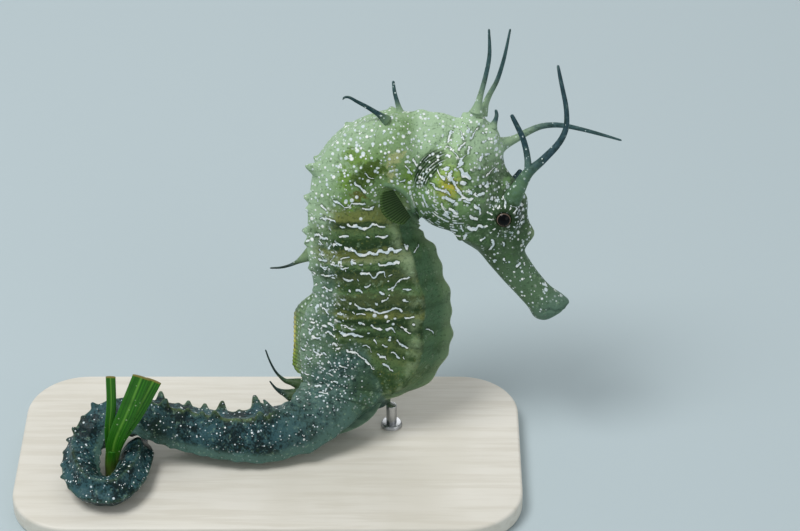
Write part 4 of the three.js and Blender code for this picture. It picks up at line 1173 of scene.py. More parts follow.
flankRows = [
    [(0.13, [(-1.1, 38.4), (-0.5, 38.4), (0.15, 38.0), (0.9, 37.6), (1.8, 38.0), (2.4, 38.0), (3.6, 37.9)])],
    [(0.18, [(-3.0, 37.4), (-2.0, 36.9)]), (0.16, [(3.2, 37.35), (3.9, 37.1), (4.9, 37.5)])],
    [(0.13, [(-3.1, 35.3), (-2.6, 35.6), (-1.6, 35.45), (-0.8, 35.3)]),
     (0.2, [(-0.2, 34.9), (0.45, 34.5)]),
     (0.17, [(0.9, 34.9), (1.7, 34.6), (2.25, 34.75), (2.65, 34.4), (3.85, 34.2), (4.5, 34.75),
             (5.2, 34.7), (5.7, 34.3), (6.5, 34.25)])],
    [(0.17, [(-0.2, 33.15), (1.2, 33.1)]), (0.1, [(3.5, 32.9), (4.4, 32.8)]),
     (0.14, [(4.9, 32.9), (5.85, 32.7), (6.9, 32.95)])],
    [(0.14, [(-3.4, 30.7), (-2.8, 29.9)]), (0.13, [(-1.2, 31.45), (-0.65, 31.85), (0.25, 31.75)]),
     (0.22, [(0.6, 31.4), (1.55, 31.2), (2.5, 30.35), (3.55, 30.05), (4.1, 30.45), (5.2, 30.25),
             (5.7, 30.7), (6.8, 30.35), (7.3, 30.8), (8.0, 30.45), (8.9, 30.7)]),
     (0.14, [(9.2, 31.35), (9.5, 30.9), (10.0, 30.7)]), (0.14, [(10.7, 30.0), (11.5, 30.6)])],
    [(0.12, [(-3.4, 31.9), (-2.6, 31.5)]), (0.11, [(-1.7, 28.95), (-0.9, 30.0)]),
     (0.13, [(-0.1, 29.55), (0.6, 29.85), (1.2, 29.8)])],
    [(0.15, [(-3.5, 29.0), (-2.8, 28.9), (-2.1, 28.9)]), (0.11, [(-0.15, 28.15), (1.1, 28.35)]),
     (0.3, [(1.25, 28.95), (2.35, 28.9)]), (0.1, [(2.7, 28.7), (3.3, 28.65)]),
     (0.21, [(5.4, 28.75), (5.85, 28.45), (6.8, 28.55), (7.7, 28.65), (8.8, 28.55)])],
    [(0.14, [(-3.0, 26.4), (-2.1, 26.4), (-1.2, 26.8)]),
     (0.22, [(0.3, 26.5), (1.1, 26.25), (1.8, 26.45)]),
     (0.18, [(2.75, 27.35), (3.4, 27.4), (4.1, 27.35), (4.75, 26.45), (5.45, 27.2), (6.2, 27.25),
             (6.6, 26.6)]), (0.13, [(6.9, 26.75), (7.5, 26.8)])],
    [(0.12, [(-2.9, 27.6), (-2.0, 27.9)]), (0.18, [(2.25, 26.5), (2.55, 26.05)]),
     (0.13, [(3.3, 25.2), (3.8, 25.15), (4.5, 25.45)]),
     (0.15, [(6.9, 24.7), (7.6, 24.8), (8.55, 25.75), (10.15, 26.25)])],
    [(0.14, [(-2.6, 24.6), (-1.9, 24.2)]), (0.17, [(1.0, 24.7), (1.55, 24.55)]),
     (0.18, [(2.0, 24.7), (2.6, 24.6), (3.2, 24.3)]), (0.18, [(5.6, 24.15), (6.45, 23.8)]),
     (0.15, [(9.15, 24.35), (9.9, 24.3), (10.4, 24.35)])],
    [(0.17, [(1.1, 22.55), (1.5, 22.55)]), (0.17, [(4.9, 22.45), (5.35, 22.5)]),
     (0.14, [(5.95, 22.75), (6.5, 22.9), (7.1, 23.4)]), (0.13, [(9.05, 22.7), (9.95, 22.5)])],
    [(0.1, [(-3.3, 21.75), (-2.95, 21.4)]), (0.17, [(-2.65, 21.15), (-2.05, 20.7)]),
     (0.16, [(2.0, 22.4), (2.6, 21.95), (3.35, 21.7), (4.4, 21.55), (5.1, 21.05), (6.3, 20.8),
             (7.05, 21.2), (7.8, 21.5), (8.5, 21.3), (9.2, 21.15)])],
    [(0.16, [(1.65, 21.3), (1.95, 21.0)]), (0.16, [(2.2, 20.8), (3.05, 20.8), (3.7, 20.7)]),
     (0.15, [(6.8, 19.5), (7.2, 19.45)]), (0.17, [(7.7, 19.85), (8.2, 19.8)]),
     (0.15, [(9.3, 19.85), (10.05, 19.75), (10.95, 19.9)])],
    [(0.18, [(-2.9, 18.5), (-2.2, 18.45)]), (0.13, [(0.35, 19.05), (1.1, 18.7), (2.0, 18.4)]),
     (0.17, [(2.45, 19.3), (3.6, 19.0)]), (0.18, [(4.3, 18.9), (4.95, 18.45), (6.1, 18.15)]),
     (0.14, [(6.45, 18.05), (7.5, 18.15), (8.1, 17.7)]),
     (0.15, [(8.8, 18.4), (9.6, 17.95), (10.4, 17.2)])],
    [(0.2, [(-2.05, 19.05), (-1.45, 18.8), (-1.0, 18.1)]), (0.17, [(3.75, 17.8), (4.1, 17.75)]),
     (0.2, [(10.7, 18.8), (11.05, 18.75)])],
    [(0.15, [(-2.0, 17.75), (-1.2, 17.3)]),
     (0.18, [(-0.35, 17.8), (0.5, 17.55), (1.85, 17.5), (3.2, 17.2)]),
     (0.11, [(12.5, 17.7), (13.2, 17.4), (13.7, 16.7)])],
    [(0.15, [(-1.4, 15.85), (-0.5, 15.8)]), (0.13, [(2.9, 15.65), (4.2, 15.3), (4.55, 14.5)]),
     (0.2, [(4.75, 16.65), (5.25, 15.9)]), (0.18, [(6.1, 15.7), (6.8, 15.4)]),
     (0.2, [(6.95, 16.4), (7.35, 16.35)]),
     (0.18, [(8.2, 16.3), (8.7, 15.6), (9.45, 15.25), (10.1, 14.85)])],
    [(0.17, [(-0.9, 15.2), (-0.2, 15.15)]),
     (0.16, [(0.5, 14.95), (1.8, 14.55), (2.55, 14.2), (3.3, 13.45), (4.05, 12.75), (4.95, 11.8)]),
     (0.17, [(5.25, 14.1), (5.7, 13.7), (6.45, 13.7), (6.75, 13.2)]), (0.2, [(7.5, 14.4), (8.6, 13.4)]),
     (0.14, [(9.15, 13.5), (9.45, 13.2)])],
    [(0.15, [(-1.3, 10.05), (-0.6, 9.8)]), (0.15, [(-0.5, 12.5), (0.75, 12.1)]),
     (0.18, [(6.05, 12.5), (6.75, 12.1), (7.65, 11.3)])],
]

# The same on the head's sides

headRows = [
    [(0.17, [(9.1, 46.8), (9.9, 45.8)]), (0.16, [(17.1, 46.05), (17.85, 46.6), (18.45, 47.0)]),
     (0.2, [(18.95, 47.3), (19.65, 48.1), (19.85, 48.5)])],
    [(0.2, [(17.5, 48.4), (17.75, 47.85), (18.2, 47.45)]), (0.2, [(18.5, 49.0), (18.85, 48.5)]),
     (0.15, [(19.9, 48.6), (20.3, 48.7)])],
    [(0.18, [(14.1, 43.3), (14.45, 42.95), (14.9, 42.35), (15.4, 42.0)]),
     (0.2, [(17.0, 43.85), (17.6, 44.2)]), (0.22, [(17.85, 42.55), (18.5, 42.4), (19.1, 41.85)])],
    [(0.13, [(13.0, 41.3), (13.4, 41.1), (13.95, 40.55), (14.8, 40.35), (15.55, 40.0), (16.1, 39.6)]),
     (0.25, [(18.7, 39.85), (19.25, 39.6)]), (0.2, [(20.1, 39.3), (20.6, 39.5), (21.2, 39.4)]),
     (0.14, [(26.15, 36.95), (27.25, 36.7)])],
    [(0.26, [(15.2, 39.2), (15.8, 38.8), (16.8, 38.5)]),
     (0.18, [(17.6, 38.95), (18.0, 39.0), (18.75, 38.7), (19.6, 38.65)])],
    [(0.14, [(18.0, 38.35), (19.0, 38.15)]), (0.24, [(19.5, 37.8), (20.1, 37.25), (20.75, 36.4)])],
    [(0.2, [(15.1, 36.25), (16.2, 35.6)]), (0.2, [(18.9, 35.95), (19.5, 35.55), (20.25, 35.45)])],
    [(0.16, [(14.7, 38.05), (15.9, 37.3)]), (0.2, [(15.8, 36.6), (16.55, 36.8), (17.3, 36.35)])],
    [(0.2, [(17.45, 34.2), (18.05, 33.45)]),
     (0.22, [(18.65, 33.95), (19.4, 33.75), (20.0, 33.65), (20.3, 34.2), (21.0, 34.1)]),
     (0.17, [(26.2, 34.2), (27.2, 34.0)])],
    [(0.24, [(18.1, 32.2), (18.55, 32.4)]), (0.16, [(20.6, 31.8), (21.3, 32.4)])],
    [(0.19, [(22.5, 28.15), (22.9, 28.2)]), (0.19, [(24.0, 28.5), (24.4, 28.5)]),
     (0.22, [(25.95, 27.4), (26.7, 27.8)])],
]
headColumns = [
    [(0.17, [(39.0, 18.0), (39.9, 17.4), (40.8, 17.0), (41.5, 16.5), (42.1, 16.1), (43.2, 16.1)]),
     (0.17, [(43.9, 17.5), (44.1, 17.55), (44.6, 17.55), (45.1, 18.15)]),
     (0.18, [(45.3, 18.45), (46.5, 18.95)])],
    [(0.24, [(41.0, 18.15), (41.7, 17.9)]), (0.19, [(42.5, 17.85), (43.7, 17.5)]),
     (0.07, [(44.8, 17.35), (45.9, 16.25), (46.6, 15.6)])],
    [(0.12, [(30.2, 22.1), (31.2, 22.4), (32.1, 22.25)]), (0.28, [(43.3, 15.4), (43.8, 15.5)]),
     (0.26, [(44.9, 15.9), (45.4, 15.7)]), (0.2, [(46.9, 15.85), (47.6, 15.95), (48.4, 16.15)])],
    [(0.1, [(30.7, 24.05), (31.8, 24.0)]), (0.22, [(38.1, 22.3), (38.8, 22.2)]),
     (0.14, [(38.9, 20.1), (39.9, 19.8)]), (0.22, [(40.1, 21.6), (40.5, 21.4), (41.0, 21.7)]),
     (0.15, [(41.9, 21.55), (42.4, 21.95), (42.75, 22.6)])],
    [(0.08, [(37.3, 24.15), (38.0, 24.1)]), (0.19, [(38.15, 24.15), (38.8, 24.5)]),
     (0.24, [(40.3, 20.5), (40.85, 20.5)])],
    [(0.2, [(38.1, 24.1), (39.0, 24.7)]), (0.24, [(44.3, 20.5), (44.7, 20.7)]),
     (0.26, [(46.6, 20.95), (47.0, 20.9)])],
    [(0.24, [(44.7, 21.5), (45.05, 21.45)]), (0.2, [(45.1, 19.95), (45.5, 19.9)]),
     (0.2, [(46.7, 21.8), (47.1, 21.85)]), (0.24, [(47.8, 20.85), (48.1, 20.9)])],
]

# Single patches of the skin: forward, half the width, height, half the height, the grain they
# break up in, strength and tone

skinPatches = {
    "nape": (9.0, 3.0, 48.6, 3.0, (0.2, 0.5), 0.85, "shoulder"),
    "breast": (10.2, 1.4, 29.0, 1.5, (0.3, 0.5), 0.8, "ridge"),
    "keelFoot": (9.5, 3.0, 10.0, 2.4, (0.3, 0.55), 0.75, "olive"),
    # Moss green on the tail's root below the belly: painted shade under the belly
    "tailRoot": (3.6, 2.6, 8.0, 5.0, (0.25, 0.5), 0.8, "moss"),
    # Near-black on the tail where the raised part arches over the coil's near arm: a painted shadow
    "tailArmShadow": (-27.6, 2.8, 4.0, 2.8, (0.3, 0.5), 0.85, "paintedShadow"),
    "cheek": (15.4, 2.6, 42.2, 3.2, None, 0.85, "green"),
    "cheekMiddle": (15.9, 1.5, 40.9, 1.8, (0.38, 0.55), 1.0, "gold"),
    "noseTip": (29.0, 0.9, 32.2, 1.4, None, 0.85, "ridge"),
}


class SkinFinish(Finish):
    def __init__(self):
        super().__init__("seahorse_skin", skinColors)
        self.spot = self.plane()
        self.forward, self.sideways, self.height = self.split(self.spot)
        self.along, self.around, self.ring = self.attribute("bodyPlace")
        self.wobble = self.noise(self.spot, 0.35, 3.0)
        self.grain = self.noise(self.spot, 1.3, 4.0, 0.65)
        self.loose = self.minus(self.wobble, 0.5)
        self.rough = self.minus(self.grain, 0.5)

    def ragged(self, value, loose, rough=0.0):
        return self.add(value, self.times(self.loose, loose), self.times(self.rough, rough))

    def within(self, place, wide, level, tall):
        return self.times(self.near(self.forward, place, wide), self.near(self.height, level, tall))

    def patch(self, base, name, share=1.0):
        place, wide, level, tall, grain, strength, tone = skinPatches[name]
        amount = self.times(self.within(place, wide, level, tall), strength, share)
        if grain:
            amount = self.times(amount, self.smooth(self.grain, *grain))
        return self.tint(base, amount, tone)


# Trunk: bands of olive, amber and dark green, paler at the back (partly the skin's own colour, partly
# painted light from above), plain at the keel, with a painted highlight along the keel's edge

def trunkLook(f):
    forward, height, around, ring = f.forward, f.height, f.around, f.ring
    bandNoise = f.noise(f.join(f.times(height, 0.8), f.times(forward, 0.22), 4.0), 1.0, 3.0)
    level = f.add(height, f.times(f.minus(bandNoise, 0.5), 2.6), f.times(f.rough, 1.2))
    level = f.add(level, f.times(f.smooth(height, 22.0, 14.0), f.minus(forward, 4.0), 0.35))
    trunk = f.ramp(level, 10.0, 41.0, [(place, f.color(tone)) for place, tone in flankBands])
    speckle = f.noise(f.spot, 1.9, 3.0, 0.7)
    trunk = f.tint(trunk, f.smooth(speckle, 0.56, 0.68, 0.0, 0.55), "amber")
    trunk = f.tint(trunk, f.smooth(speckle, 0.32, 0.44, 0.6, 0.0), "dark")
    upper = f.smooth(f.ragged(height, 14.0, 4.0), 35.0, 41.0, 0.1, 1.0)
    blotch = f.smooth(f.add(f.noise(f.spot, 0.28, 2.0), f.times(f.rough, 0.15)), 0.54, 0.62)
    shoulder = f.tint(f.color("shoulder"), f.times(blotch, 0.3), "dark")
    trunk = f.mix(f.times(upper, f.smooth(ring, -8.0, -8.8)), trunk, shoulder)
    # Paler towards the back: partly the skin's own pale colour, partly painted light falling from above
    backward = f.add(f.ragged(around, 0.3, 0.14), f.smooth(height, 33.0, 38.0, 0.0, -0.09))
    trunk = f.tint(trunk, f.smooth(backward, 0.13, 0.38, 0.95, 0.0), "back")
    trunk = f.patch(trunk, "nape")
    tattered = f.minus(f.noise(f.spot, 1.0, 4.0, 0.7), 0.5)
    raggedForward = f.ragged(forward, 0.0, 5.0)
    raggedHeight = f.add(f.ragged(height, 1.5), f.times(tattered, 5.0))
    for tone, place, level, wide, tall, strength in shoulderPatches:
        patch = f.times(f.near(raggedForward, place, wide), f.near(raggedHeight, level, tall), strength)
        trunk = f.tint(trunk, f.smooth(patch, 0.2, 0.75, 0.0, 0.85), tone)
    hollow = f.times(f.smooth(ring, -7.0, -5.0), f.smooth(forward, -0.6, -1.6))
    trunk = f.tint(trunk, f.times(hollow, 0.5), "root")
    strip = f.times(f.near(around, 0.735, 0.035), f.smooth(f.noise(f.spot, 0.55, 3.0), 0.38, 0.6))
    trunk = f.tint(trunk, f.times(strip, 0.5), "ridge")
    trunk = f.patch(trunk, "breast")
    keel = f.smooth(around, 0.765, 0.785)
    keelLook = f.tint(f.color("keel"), f.smooth(f.wobble, 0.42, 0.7, 0.0, 0.5), "flank")
    keelLook = f.tint(keelLook, f.smooth(f.grain, 0.5, 0.68, 0.0, 0.55), "dark")
    crease = f.calc("FRACT", f.add(ring, 20.0, f.times(f.rough, 0.5)))
    crease = f.times(f.near(crease, 0.5, 0.2), f.smooth(f.wobble, 0.3, 0.55))
    keelLook = f.tint(keelLook, f.times(crease, 0.45), "dark")
    # Paler towards the keel's edge: a painted highlight
    keelLook = f.tint(keelLook, f.times(f.smooth(around, 0.86, 0.97), 0.35), "ridge")
    keelLook = f.patch(keelLook, "keelFoot")
    trunk = f.mix(keel, trunk, keelLook)
    # A thin pale line on the keel's very edge: a painted highlight
    return keel, f.tint(trunk, f.smooth(around, 0.978, 0.992, 0.0, 0.9), "ridge")


# Tail: slate above, a paler plain band low on its sides, painted shade on its root under the belly and a
# painted shadow where the raised tail arches over the coil

def tailLook(f):
    around, ring = f.around, f.ring
    fleck = f.times(f.minus(f.noise(f.spot, 3.2, 2.0, 0.6), 0.5), 0.7)
    mottled = f.add(f.wobble, f.times(f.rough, 0.8), fleck)
    tail = f.tint(f.color("slate"), f.smooth(mottled, 0.36, 0.66), "slateTop")
    tail = f.tint(tail, f.smooth(f.ragged(around, 0.1), 0.54, 0.64, 0.0, 0.75), "slateLow")
    tail = f.tint(tail, f.times(f.smooth(ring, 6.0, 1.0), f.smooth(f.grain, 0.3, 0.55), 0.9), "root")
    # Painted shade under the belly, on the tail's root
    tail = f.patch(tail, "tailRoot")
    crest = f.times(f.near(around, 0.165, 0.035), f.smooth(ring, 3.5, 5.0))
    crest = f.times(crest, f.smooth(ring, 14.0, 12.0, 0.35, 1.0), f.smooth(f.grain, 0.35, 0.5))
    tail = f.tint(tail, f.times(crest, 0.7), "olive")
    # Painted shadow on the tail's near side where the raised tail arches over the coil
    tail = f.patch(tail, "tailArmShadow", f.smooth(f.size(f.sideways), 7.2, 8.6))
    tailStart = f.curve(f.calc("MULTIPLY_ADD", f.forward, 1 / 16, 0.5), [
        ((place + 8) / 16, level / 20) for place, level in tailEdge], True)
    slope = f.ragged(f.minus(f.times(tailStart, 20.0), f.height), 3.0, 3.0)
    return f.smooth(slope, -2.0, 2.0), tail


# Head: crown paler towards the top (partly its own colour, partly painted light from above), golden green
# cheek, dark mask round the eye, olive snout

def headLook(f, upEye, eyeReach):
    forward, height, grain = f.forward, f.height, f.grain
    # Paler towards the crown: partly the head's own pale colour, partly painted light falling from above
    head = f.tint(f.color("head"), f.smooth(f.ragged(height, 10.0, 3.0), 39.5, 47.5), "crown")
    head = f.patch(head, "cheek")
    head = f.patch(head, "cheekMiddle")
    front = f.times(f.smooth(forward, 18.0, 22.0), f.smooth(height, 46.0, 42.0), f.smooth(grain, 0.35, 0.6))
    head = f.tint(head, f.times(front, 0.7), "brown")
    head = f.tint(head, f.smooth(f.ragged(height, 0.0, 3.0), 34.0, 38.5, 0.75, 0.0), "mask")
    shadow = f.smooth(f.noise(f.spot, 0.5, 3.0, 0.6), 0.5, 0.62)
    head = f.tint(head, f.times(shadow, f.smooth(height, 47.0, 43.0), 0.7), "mask")
    head = f.tint(head, f.smooth(f.ragged(eyeReach, 1.5), 2.0, 3.6, 0.95, 0.0), "mask")
    head = f.tint(head, f.smooth(eyeReach, 1.15, 2.3, 0.7, 0.0), "deep")
    fold = f.times(f.near(f.add(forward, f.times(upEye, 0.12)), 26.3, 1.0), f.near(height, 36.2, 2.8))
    head = f.tint(head, f.times(fold, f.smooth(grain, 0.25, 0.5), 0.9), "deep")
    head = f.tint(head, f.smooth(f.along, 9.0, 13.5, 0.9, 0.0), "snout")
    head = f.tint(head, f.smooth(f.along, 1.5, 5.0, 0.85, 0.0), "snoutEnd")
    head = f.patch(head, "noseTip")
    headShare = f.smooth(f.ragged(forward, 2.0), 9.8, 12.0)
    return f.times(headShare, f.smooth(f.ring, -10.5, -11.3)), head


# Gill cover: fine dark arcs at its upper rear edge, white dashes below them

def gillLook(f, base):
    toCheek, upCheek, reach = f.away(f.forward, f.height, cheek)
    index, share = f.lanes(f.add(reach, f.times(f.rough, 0.5)), 0.44)
    turn = f.calc("ARCTAN2", upCheek, f.times(toCheek, -1.0))
    dash = f.laneNoise(turn, 6.0, index, 5.3, 1.0)
    onCheek = f.smooth(f.ring, -10.2, -11.0)
    fan = f.smooth(f.times(f.near(turn, 0.62, 0.6), f.near(reach, 5.75, 1.5), onCheek), 0.25, 0.6)
    fanIndex, fanShare = f.lanes(f.add(reach, f.times(turn, 0.55)), 0.37)
    fanDash = f.laneNoise(turn, 5.0, fanIndex, 5.3, 1.0)
    arcs = f.times(f.near(fanShare, 0.5, 0.3), f.smooth(fanDash, 0.3, 0.4))
    # Dark base of the gill arcs: partly the gill cover's own dark colour, partly painted shade in the gill
    # slit
    base = f.tint(base, f.times(fan, 0.8), "mask")
    base = f.tint(base, f.times(fan, arcs), "stria")
    glint = f.times(fan, f.near(fanShare, 0.02, 0.18), f.smooth(fanDash, 0.53, 0.6))
    wide = f.times(f.smooth(reach, 3.4, 4.0), f.smooth(reach, 7.6, 8.2, 1.0, 0.0), onCheek)
    low = f.times(f.smooth(turn, 0.15, -0.05), f.smooth(turn, -1.9, -1.5))
    dashes = f.times(f.smooth(f.near(share, 0.3, 0.34), 0.3, 0.6), f.smooth(dash, 0.52, 0.56), wide, low)
    return base, f.top(dashes, glint)


# White dots and flecks, by region

def dotMarks(f, keel, onTail, headShare):
    height, around, offTail = f.height, f.around, f.less(onTail)
    onBack = f.smooth(f.ragged(around, 0.3), 0.24, 0.4, 1.0, 0.0)
    onNeck = f.times(f.smooth(f.ragged(height, 6.0), 36.0, 39.0), f.smooth(f.ring, -7.8, -8.6))
    upperZone = f.top(onBack, onNeck)
    small = f.scattered(f.spot, 0.6, 0.15, 0.7)
    patchy = f.smooth(f.noise(f.spot, 0.45, 1.0), 0.32, 0.44)
    onCrown = f.times(headShare, f.smooth(f.ragged(height, 4.0), 45.5, 47.5))
    onSnout = f.times(headShare, f.smooth(height, 32.0, 29.5))
    marks = f.times(f.scattered(f.spot, 0.85, 0.24, 0.8), patchy, offTail, f.top(upperZone, onCrown))
    marks = f.top(marks, f.times(small, f.top(upperZone, onCrown, onSnout), offTail))
    tailDots = f.top(f.scattered(f.spot, 0.6, 0.105, 0.8), f.scattered(f.spot, 1.1, 0.16, 0.55))
    lowTail = f.less(f.times(onTail, f.smooth(around, 0.5, 0.6), 0.8))
    rump = f.times(f.within(-1.6, 3.6, 14.5, 8.5), f.smooth(around, 0.62, 0.5))
    rump = f.times(f.scattered(f.spot, 0.52, 0.14, 0.75), f.smooth(rump, 0.25, 0.5))
    zone = f.top(upperZone, headShare, onTail)
    sparse = f.times(f.scattered(f.spot, 1.7, 0.24, 0.5), f.less(zone))
    marks = f.top(marks, f.times(tailDots, onTail, lowTail), rump, sparse)
    return small, f.times(marks, f.less(f.times(keel, offTail, f.less(headShare))))


# Short lines round the back of the flank, and the dark beside them

def flankLines(f):
    around, ring = f.around, f.ring
    band = f.times(f.smooth(around, 0.08, 0.16), f.smooth(around, 0.34, 0.44, 1.0, 0.0))
    band = f.times(band, f.smooth(ring, -8.2, -7.2), f.smooth(ring, 1.2, 2.4, 1.0, 0.0))
    spacing = 1.15
    index, share = f.lanes(f.minus(f.along, f.times(around, 2.0)), spacing)
    wave = f.laneNoise(around, 24.0, index, 7.3, 31.0)
    centre = f.add(0.5, f.times(f.minus(wave, 0.5), 1.2))
    gap = f.times(f.size(f.minus(share, centre)), spacing)
    keep = f.smooth(f.laneNoise(around, 20.0, index, 3.7, 36.0), 0.54, 0.58)
    inside = f.minus(f.times(keep, 0.13), gap)
    return [f.times(f.smooth(inside, *limits), keep, band) for limits in ((-0.05, 0.05), (-0.35, -0.1))]


# A net of thin broken lines at the back of the flank

def netMarks(f):
    bend = f.vector("MULTIPLY", f.noise(f.spot, 0.9, 1.0, output="Color"), (1.6, 0, 1.6))
    spot = f.vector("ADD", f.vector("MULTIPLY", f.spot, (1, 0, 1)), bend)
    net = f.cells(spot, 0.55, "DISTANCE_TO_EDGE").outputs["Distance"]
    net = f.times(f.smooth(net, 0.022, 0.05, 1.0, 0.0), f.smooth(f.noise(f.spot, 1.0, 1.0), 0.5, 0.56))
    zone = f.times(f.within(-0.6, 2.6, 29.4, 2.9), f.smooth(f.around, 0.62, 0.5))
    return f.times(net, f.smooth(zone, 0.25, 0.5))


# How deep a spot lies inside the named strokes

def strokeDepth(f, headShare):
    bend = f.vector("SUBTRACT", f.noise(f.spot, 1.1, 2.0, output="Color"), (0.5, 0.5, 0.5))
    bend = f.vector("MULTIPLY", bend, (0.9, 0, 0.9))
    forward, _, height = f.split(f.vector("ADD", bend, f.spot))
    uneven = f.add(0.5, f.times(f.noise(f.spot, 1.5, 1.0), 0.85))
    bold = f.times(f.add(uneven, 0.4), f.smooth(f.height, 43.5, 46.5, 1.0, 0.72))
    pastRings = f.smooth(f.ring, 2.4, 3.0)
    onHead = f.top(f.strokes(forward, height, headRows, 7.0, 29.0, bold),
                   f.strokes(height, forward, headColumns, 26.0, 50.0, bold))
    onTrunk = f.strokes(forward, height, flankRows, -5.0, 15.0, uneven)
    return f.top(
        f.add(onHead, f.times(f.less(headShare), -2.0)),
        f.add(onTrunk, f.times(headShare, -2.0), f.times(pastRings, -2.0)),
        f.strokes(forward, height, shoulderRows, 0.0, 14.0, uneven))


def eyeRays(f, toEye, upEye, eyeReach):
    turn = f.calc("ARCTAN2", upEye, toEye)
    ray = f.smooth(f.size(f.calc("SINE", f.times(turn, 7.5))), 0.88, 0.96)
    dash = f.smooth(f.noise(f.spot, 1.7, 1.0), 0.5, 0.56)
    return f.times(ray, dash, f.smooth(eyeReach, 1.6, 1.9), f.smooth(eyeReach, 2.9, 3.4, 1.0, 0.0))


def skinFinish():
    f = SkinFinish()
    toEye, upEye, eyeReach = f.away(f.forward, f.height, eyes)
    keel, trunk = trunkLook(f)
    onTail, tail = tailLook(f)
    headShare, head = headLook(f, upEye, eyeReach)
    base = f.mix(headShare, f.mix(onTail, trunk, tail), head)
    base = f.tint(base, f.smooth(f.grain, 0.56, 0.74, 0.0, 0.4), "back")
    base = f.tint(base, f.smooth(f.noise(f.spot, 2.1, 3.0, 0.6), 0.3, 0.46, 0.5, 0.0), "dark")
    base, dashes = gillLook(f, base)
    crescent = f.toLine(f.join(f.forward, f.height, 0.0), finRoot["line"])
    crescent = f.times(f.smooth(crescent, 0.22, 0.46, 1.0, 0.0), f.smooth(f.ring, -11.9, -11.4))
    base = f.tint(base, f.times(crescent, 0.8), "crescent")
    small, marks = dotMarks(f, keel, onTail, headShare)
    lines, edge = flankLines(f)
    specks = f.times(f.within(21.6, 1.3, 36.6, 1.7), headShare)
    specks = f.times(small, f.smooth(specks, 0.3, 0.5))
    depth = strokeDepth(f, headShare)
    outward = f.smooth(f.size(f.sideways), 0.8, 1.5)
    strokes = f.times(f.smooth(depth, -0.04, 0.06), outward)
    rays = f.times(eyeRays(f, toEye, upEye, eyeReach), headShare)
    marks = f.top(marks, f.times(lines, f.less(headShare)), netMarks(f), specks, dashes, strokes, rays)
    marks = f.times(marks, f.smooth(f.along, 1.0, 3.0), f.less(f.times(crescent, 0.9)))
    marks = f.times(marks, f.smooth(eyeReach, 1.05, 1.3))
    edge = f.top(edge, f.times(f.smooth(depth, -0.45, -0.08), outward))
    base = f.tint(base, f.times(edge, 0.6), "dark")
    white = f.tint(f.color("shade"), f.smooth(f.noise(f.spot, 1.1, 2.0), 0.42, 0.62), "mark")
    base = f.mix(f.times(marks, 0.97), base, white)
    lumps = f.noise(f.spot, 2.4, 3.0, 0.6)
    pores = f.cells(f.spot, 2.6).outputs["Distance"]
    normal = f.bump(f.add(f.times(lumps, 0.7), f.times(pores, 0.3)), 0.16, 0.8)
    normal = f.bump(marks, 0.06, 0.8, normal)
    return f.finish(base, 0.42, Normal=normal, Specular_IOR_Level=0.16)


feelerMarks = {
    "streakDark": (34, 54, 44), "streakLight": (124, 150, 132), "cloud": (96, 124, 124),
    "hollow": (34, 52, 44), "dot": (226, 240, 236),
}
feelerTones = {
    "crown": {"root": (150, 176, 142), "shaft": (62, 90, 92), "from": 0.1, "to": 0.5},
    "brow": {"root": (92, 124, 92), "shaft": (50, 76, 84), "from": 0.12, "to": 0.42, "foot": (62, 90, 58)},
    "branch": {"root": (86, 114, 106), "shaft": (44, 72, 80), "from": 0.1, "to": 0.5},
    "nape": {"root": (96, 122, 92), "shaft": (34, 62, 66), "from": 0.05, "to": 0.25},
    "back": {"root": (122, 146, 108), "shaft": (34, 50, 44), "from": 0.3, "to": 0.6},
    "vent": {"root": (66, 88, 54), "shaft": (34, 54, 52), "from": 0.25, "to": 0.6},
}


def feelerFinish(key):
    tone = feelerTones[key]
    f = Finish("feeler_" + key, {**feelerMarks, **tone})
    plane = f.plane()
    length, share, turn = f.attribute("bodyPlace")
    grain = f.noise(plane, 1.6, 3.0, 0.6)
    edge = f.add(share, f.times(f.minus(grain, 0.5), 0.2))
    base = f.tint(f.color("root"), f.smooth(edge, tone["from"], tone["to"]), "shaft")
    streak = f.noise(f.join(f.times(turn, 2.2), f.times(length, 0.5), 3.0), 1.6, 3.0, 0.6)
    if "foot" in tone:
        base = f.tint(base, f.smooth(edge, 0.02, 0.16, 0.9, 0.0), "foot")
    past = f.smooth(share, 0.1, 0.35)
    base = f.tint(base, f.times(f.smooth(streak, 0.34, 0.48, 0.55, 0.0), past), "streakDark")
    base = f.tint(base, f.smooth(streak, 0.54, 0.7, 0.0, 0.4), "streakLight")
    base = f.tint(base, f.smooth(grain, 0.5, 0.72, 0.0, 0.3), "cloud")
    base = f.tint(base, f.times(f.smooth(grain, 0.28, 0.44, 0.45, 0.0), past), "hollow")
    rootDots = f.times(f.scattered(plane, 0.8, 0.17, 0.6), f.less(past))
    dots = f.top(f.scattered(plane, 0.62, 0.1, 0.6), rootDots)
    base = f.tint(base, f.times(dots, 0.85), "dot")
    normal = f.bump(f.noise(plane, 3.0, 3.0), 0.08, 0.7)
    return f.finish(base, 0.45, Normal=normal, Specular_IOR_Level=0.16)


eyeTones = {"pupil": (2, 3, 5), "iris": (84, 74, 64), "irisLight": (128, 108, 96), "rim": (32, 44, 28)}


def eyeFinish():
    f = Finish("eye", eyeTones)
    plane = f.plane()
    forward, _, height = f.split(plane)
    _, _, reach = f.away(forward, height, eyes)
    iris = f.tint(f.color("iris"), f.smooth(f.noise(plane, 9.0, 3.0), 0.4, 0.65), "irisLight")
    base = f.mix(f.smooth(reach, 0.87, 0.91), f.color("pupil"), iris)
    base = f.tint(base, f.smooth(reach, 0.99, 1.06), "rim")
    return f.finish(base, 0.16, Specular_IOR_Level=0.14)


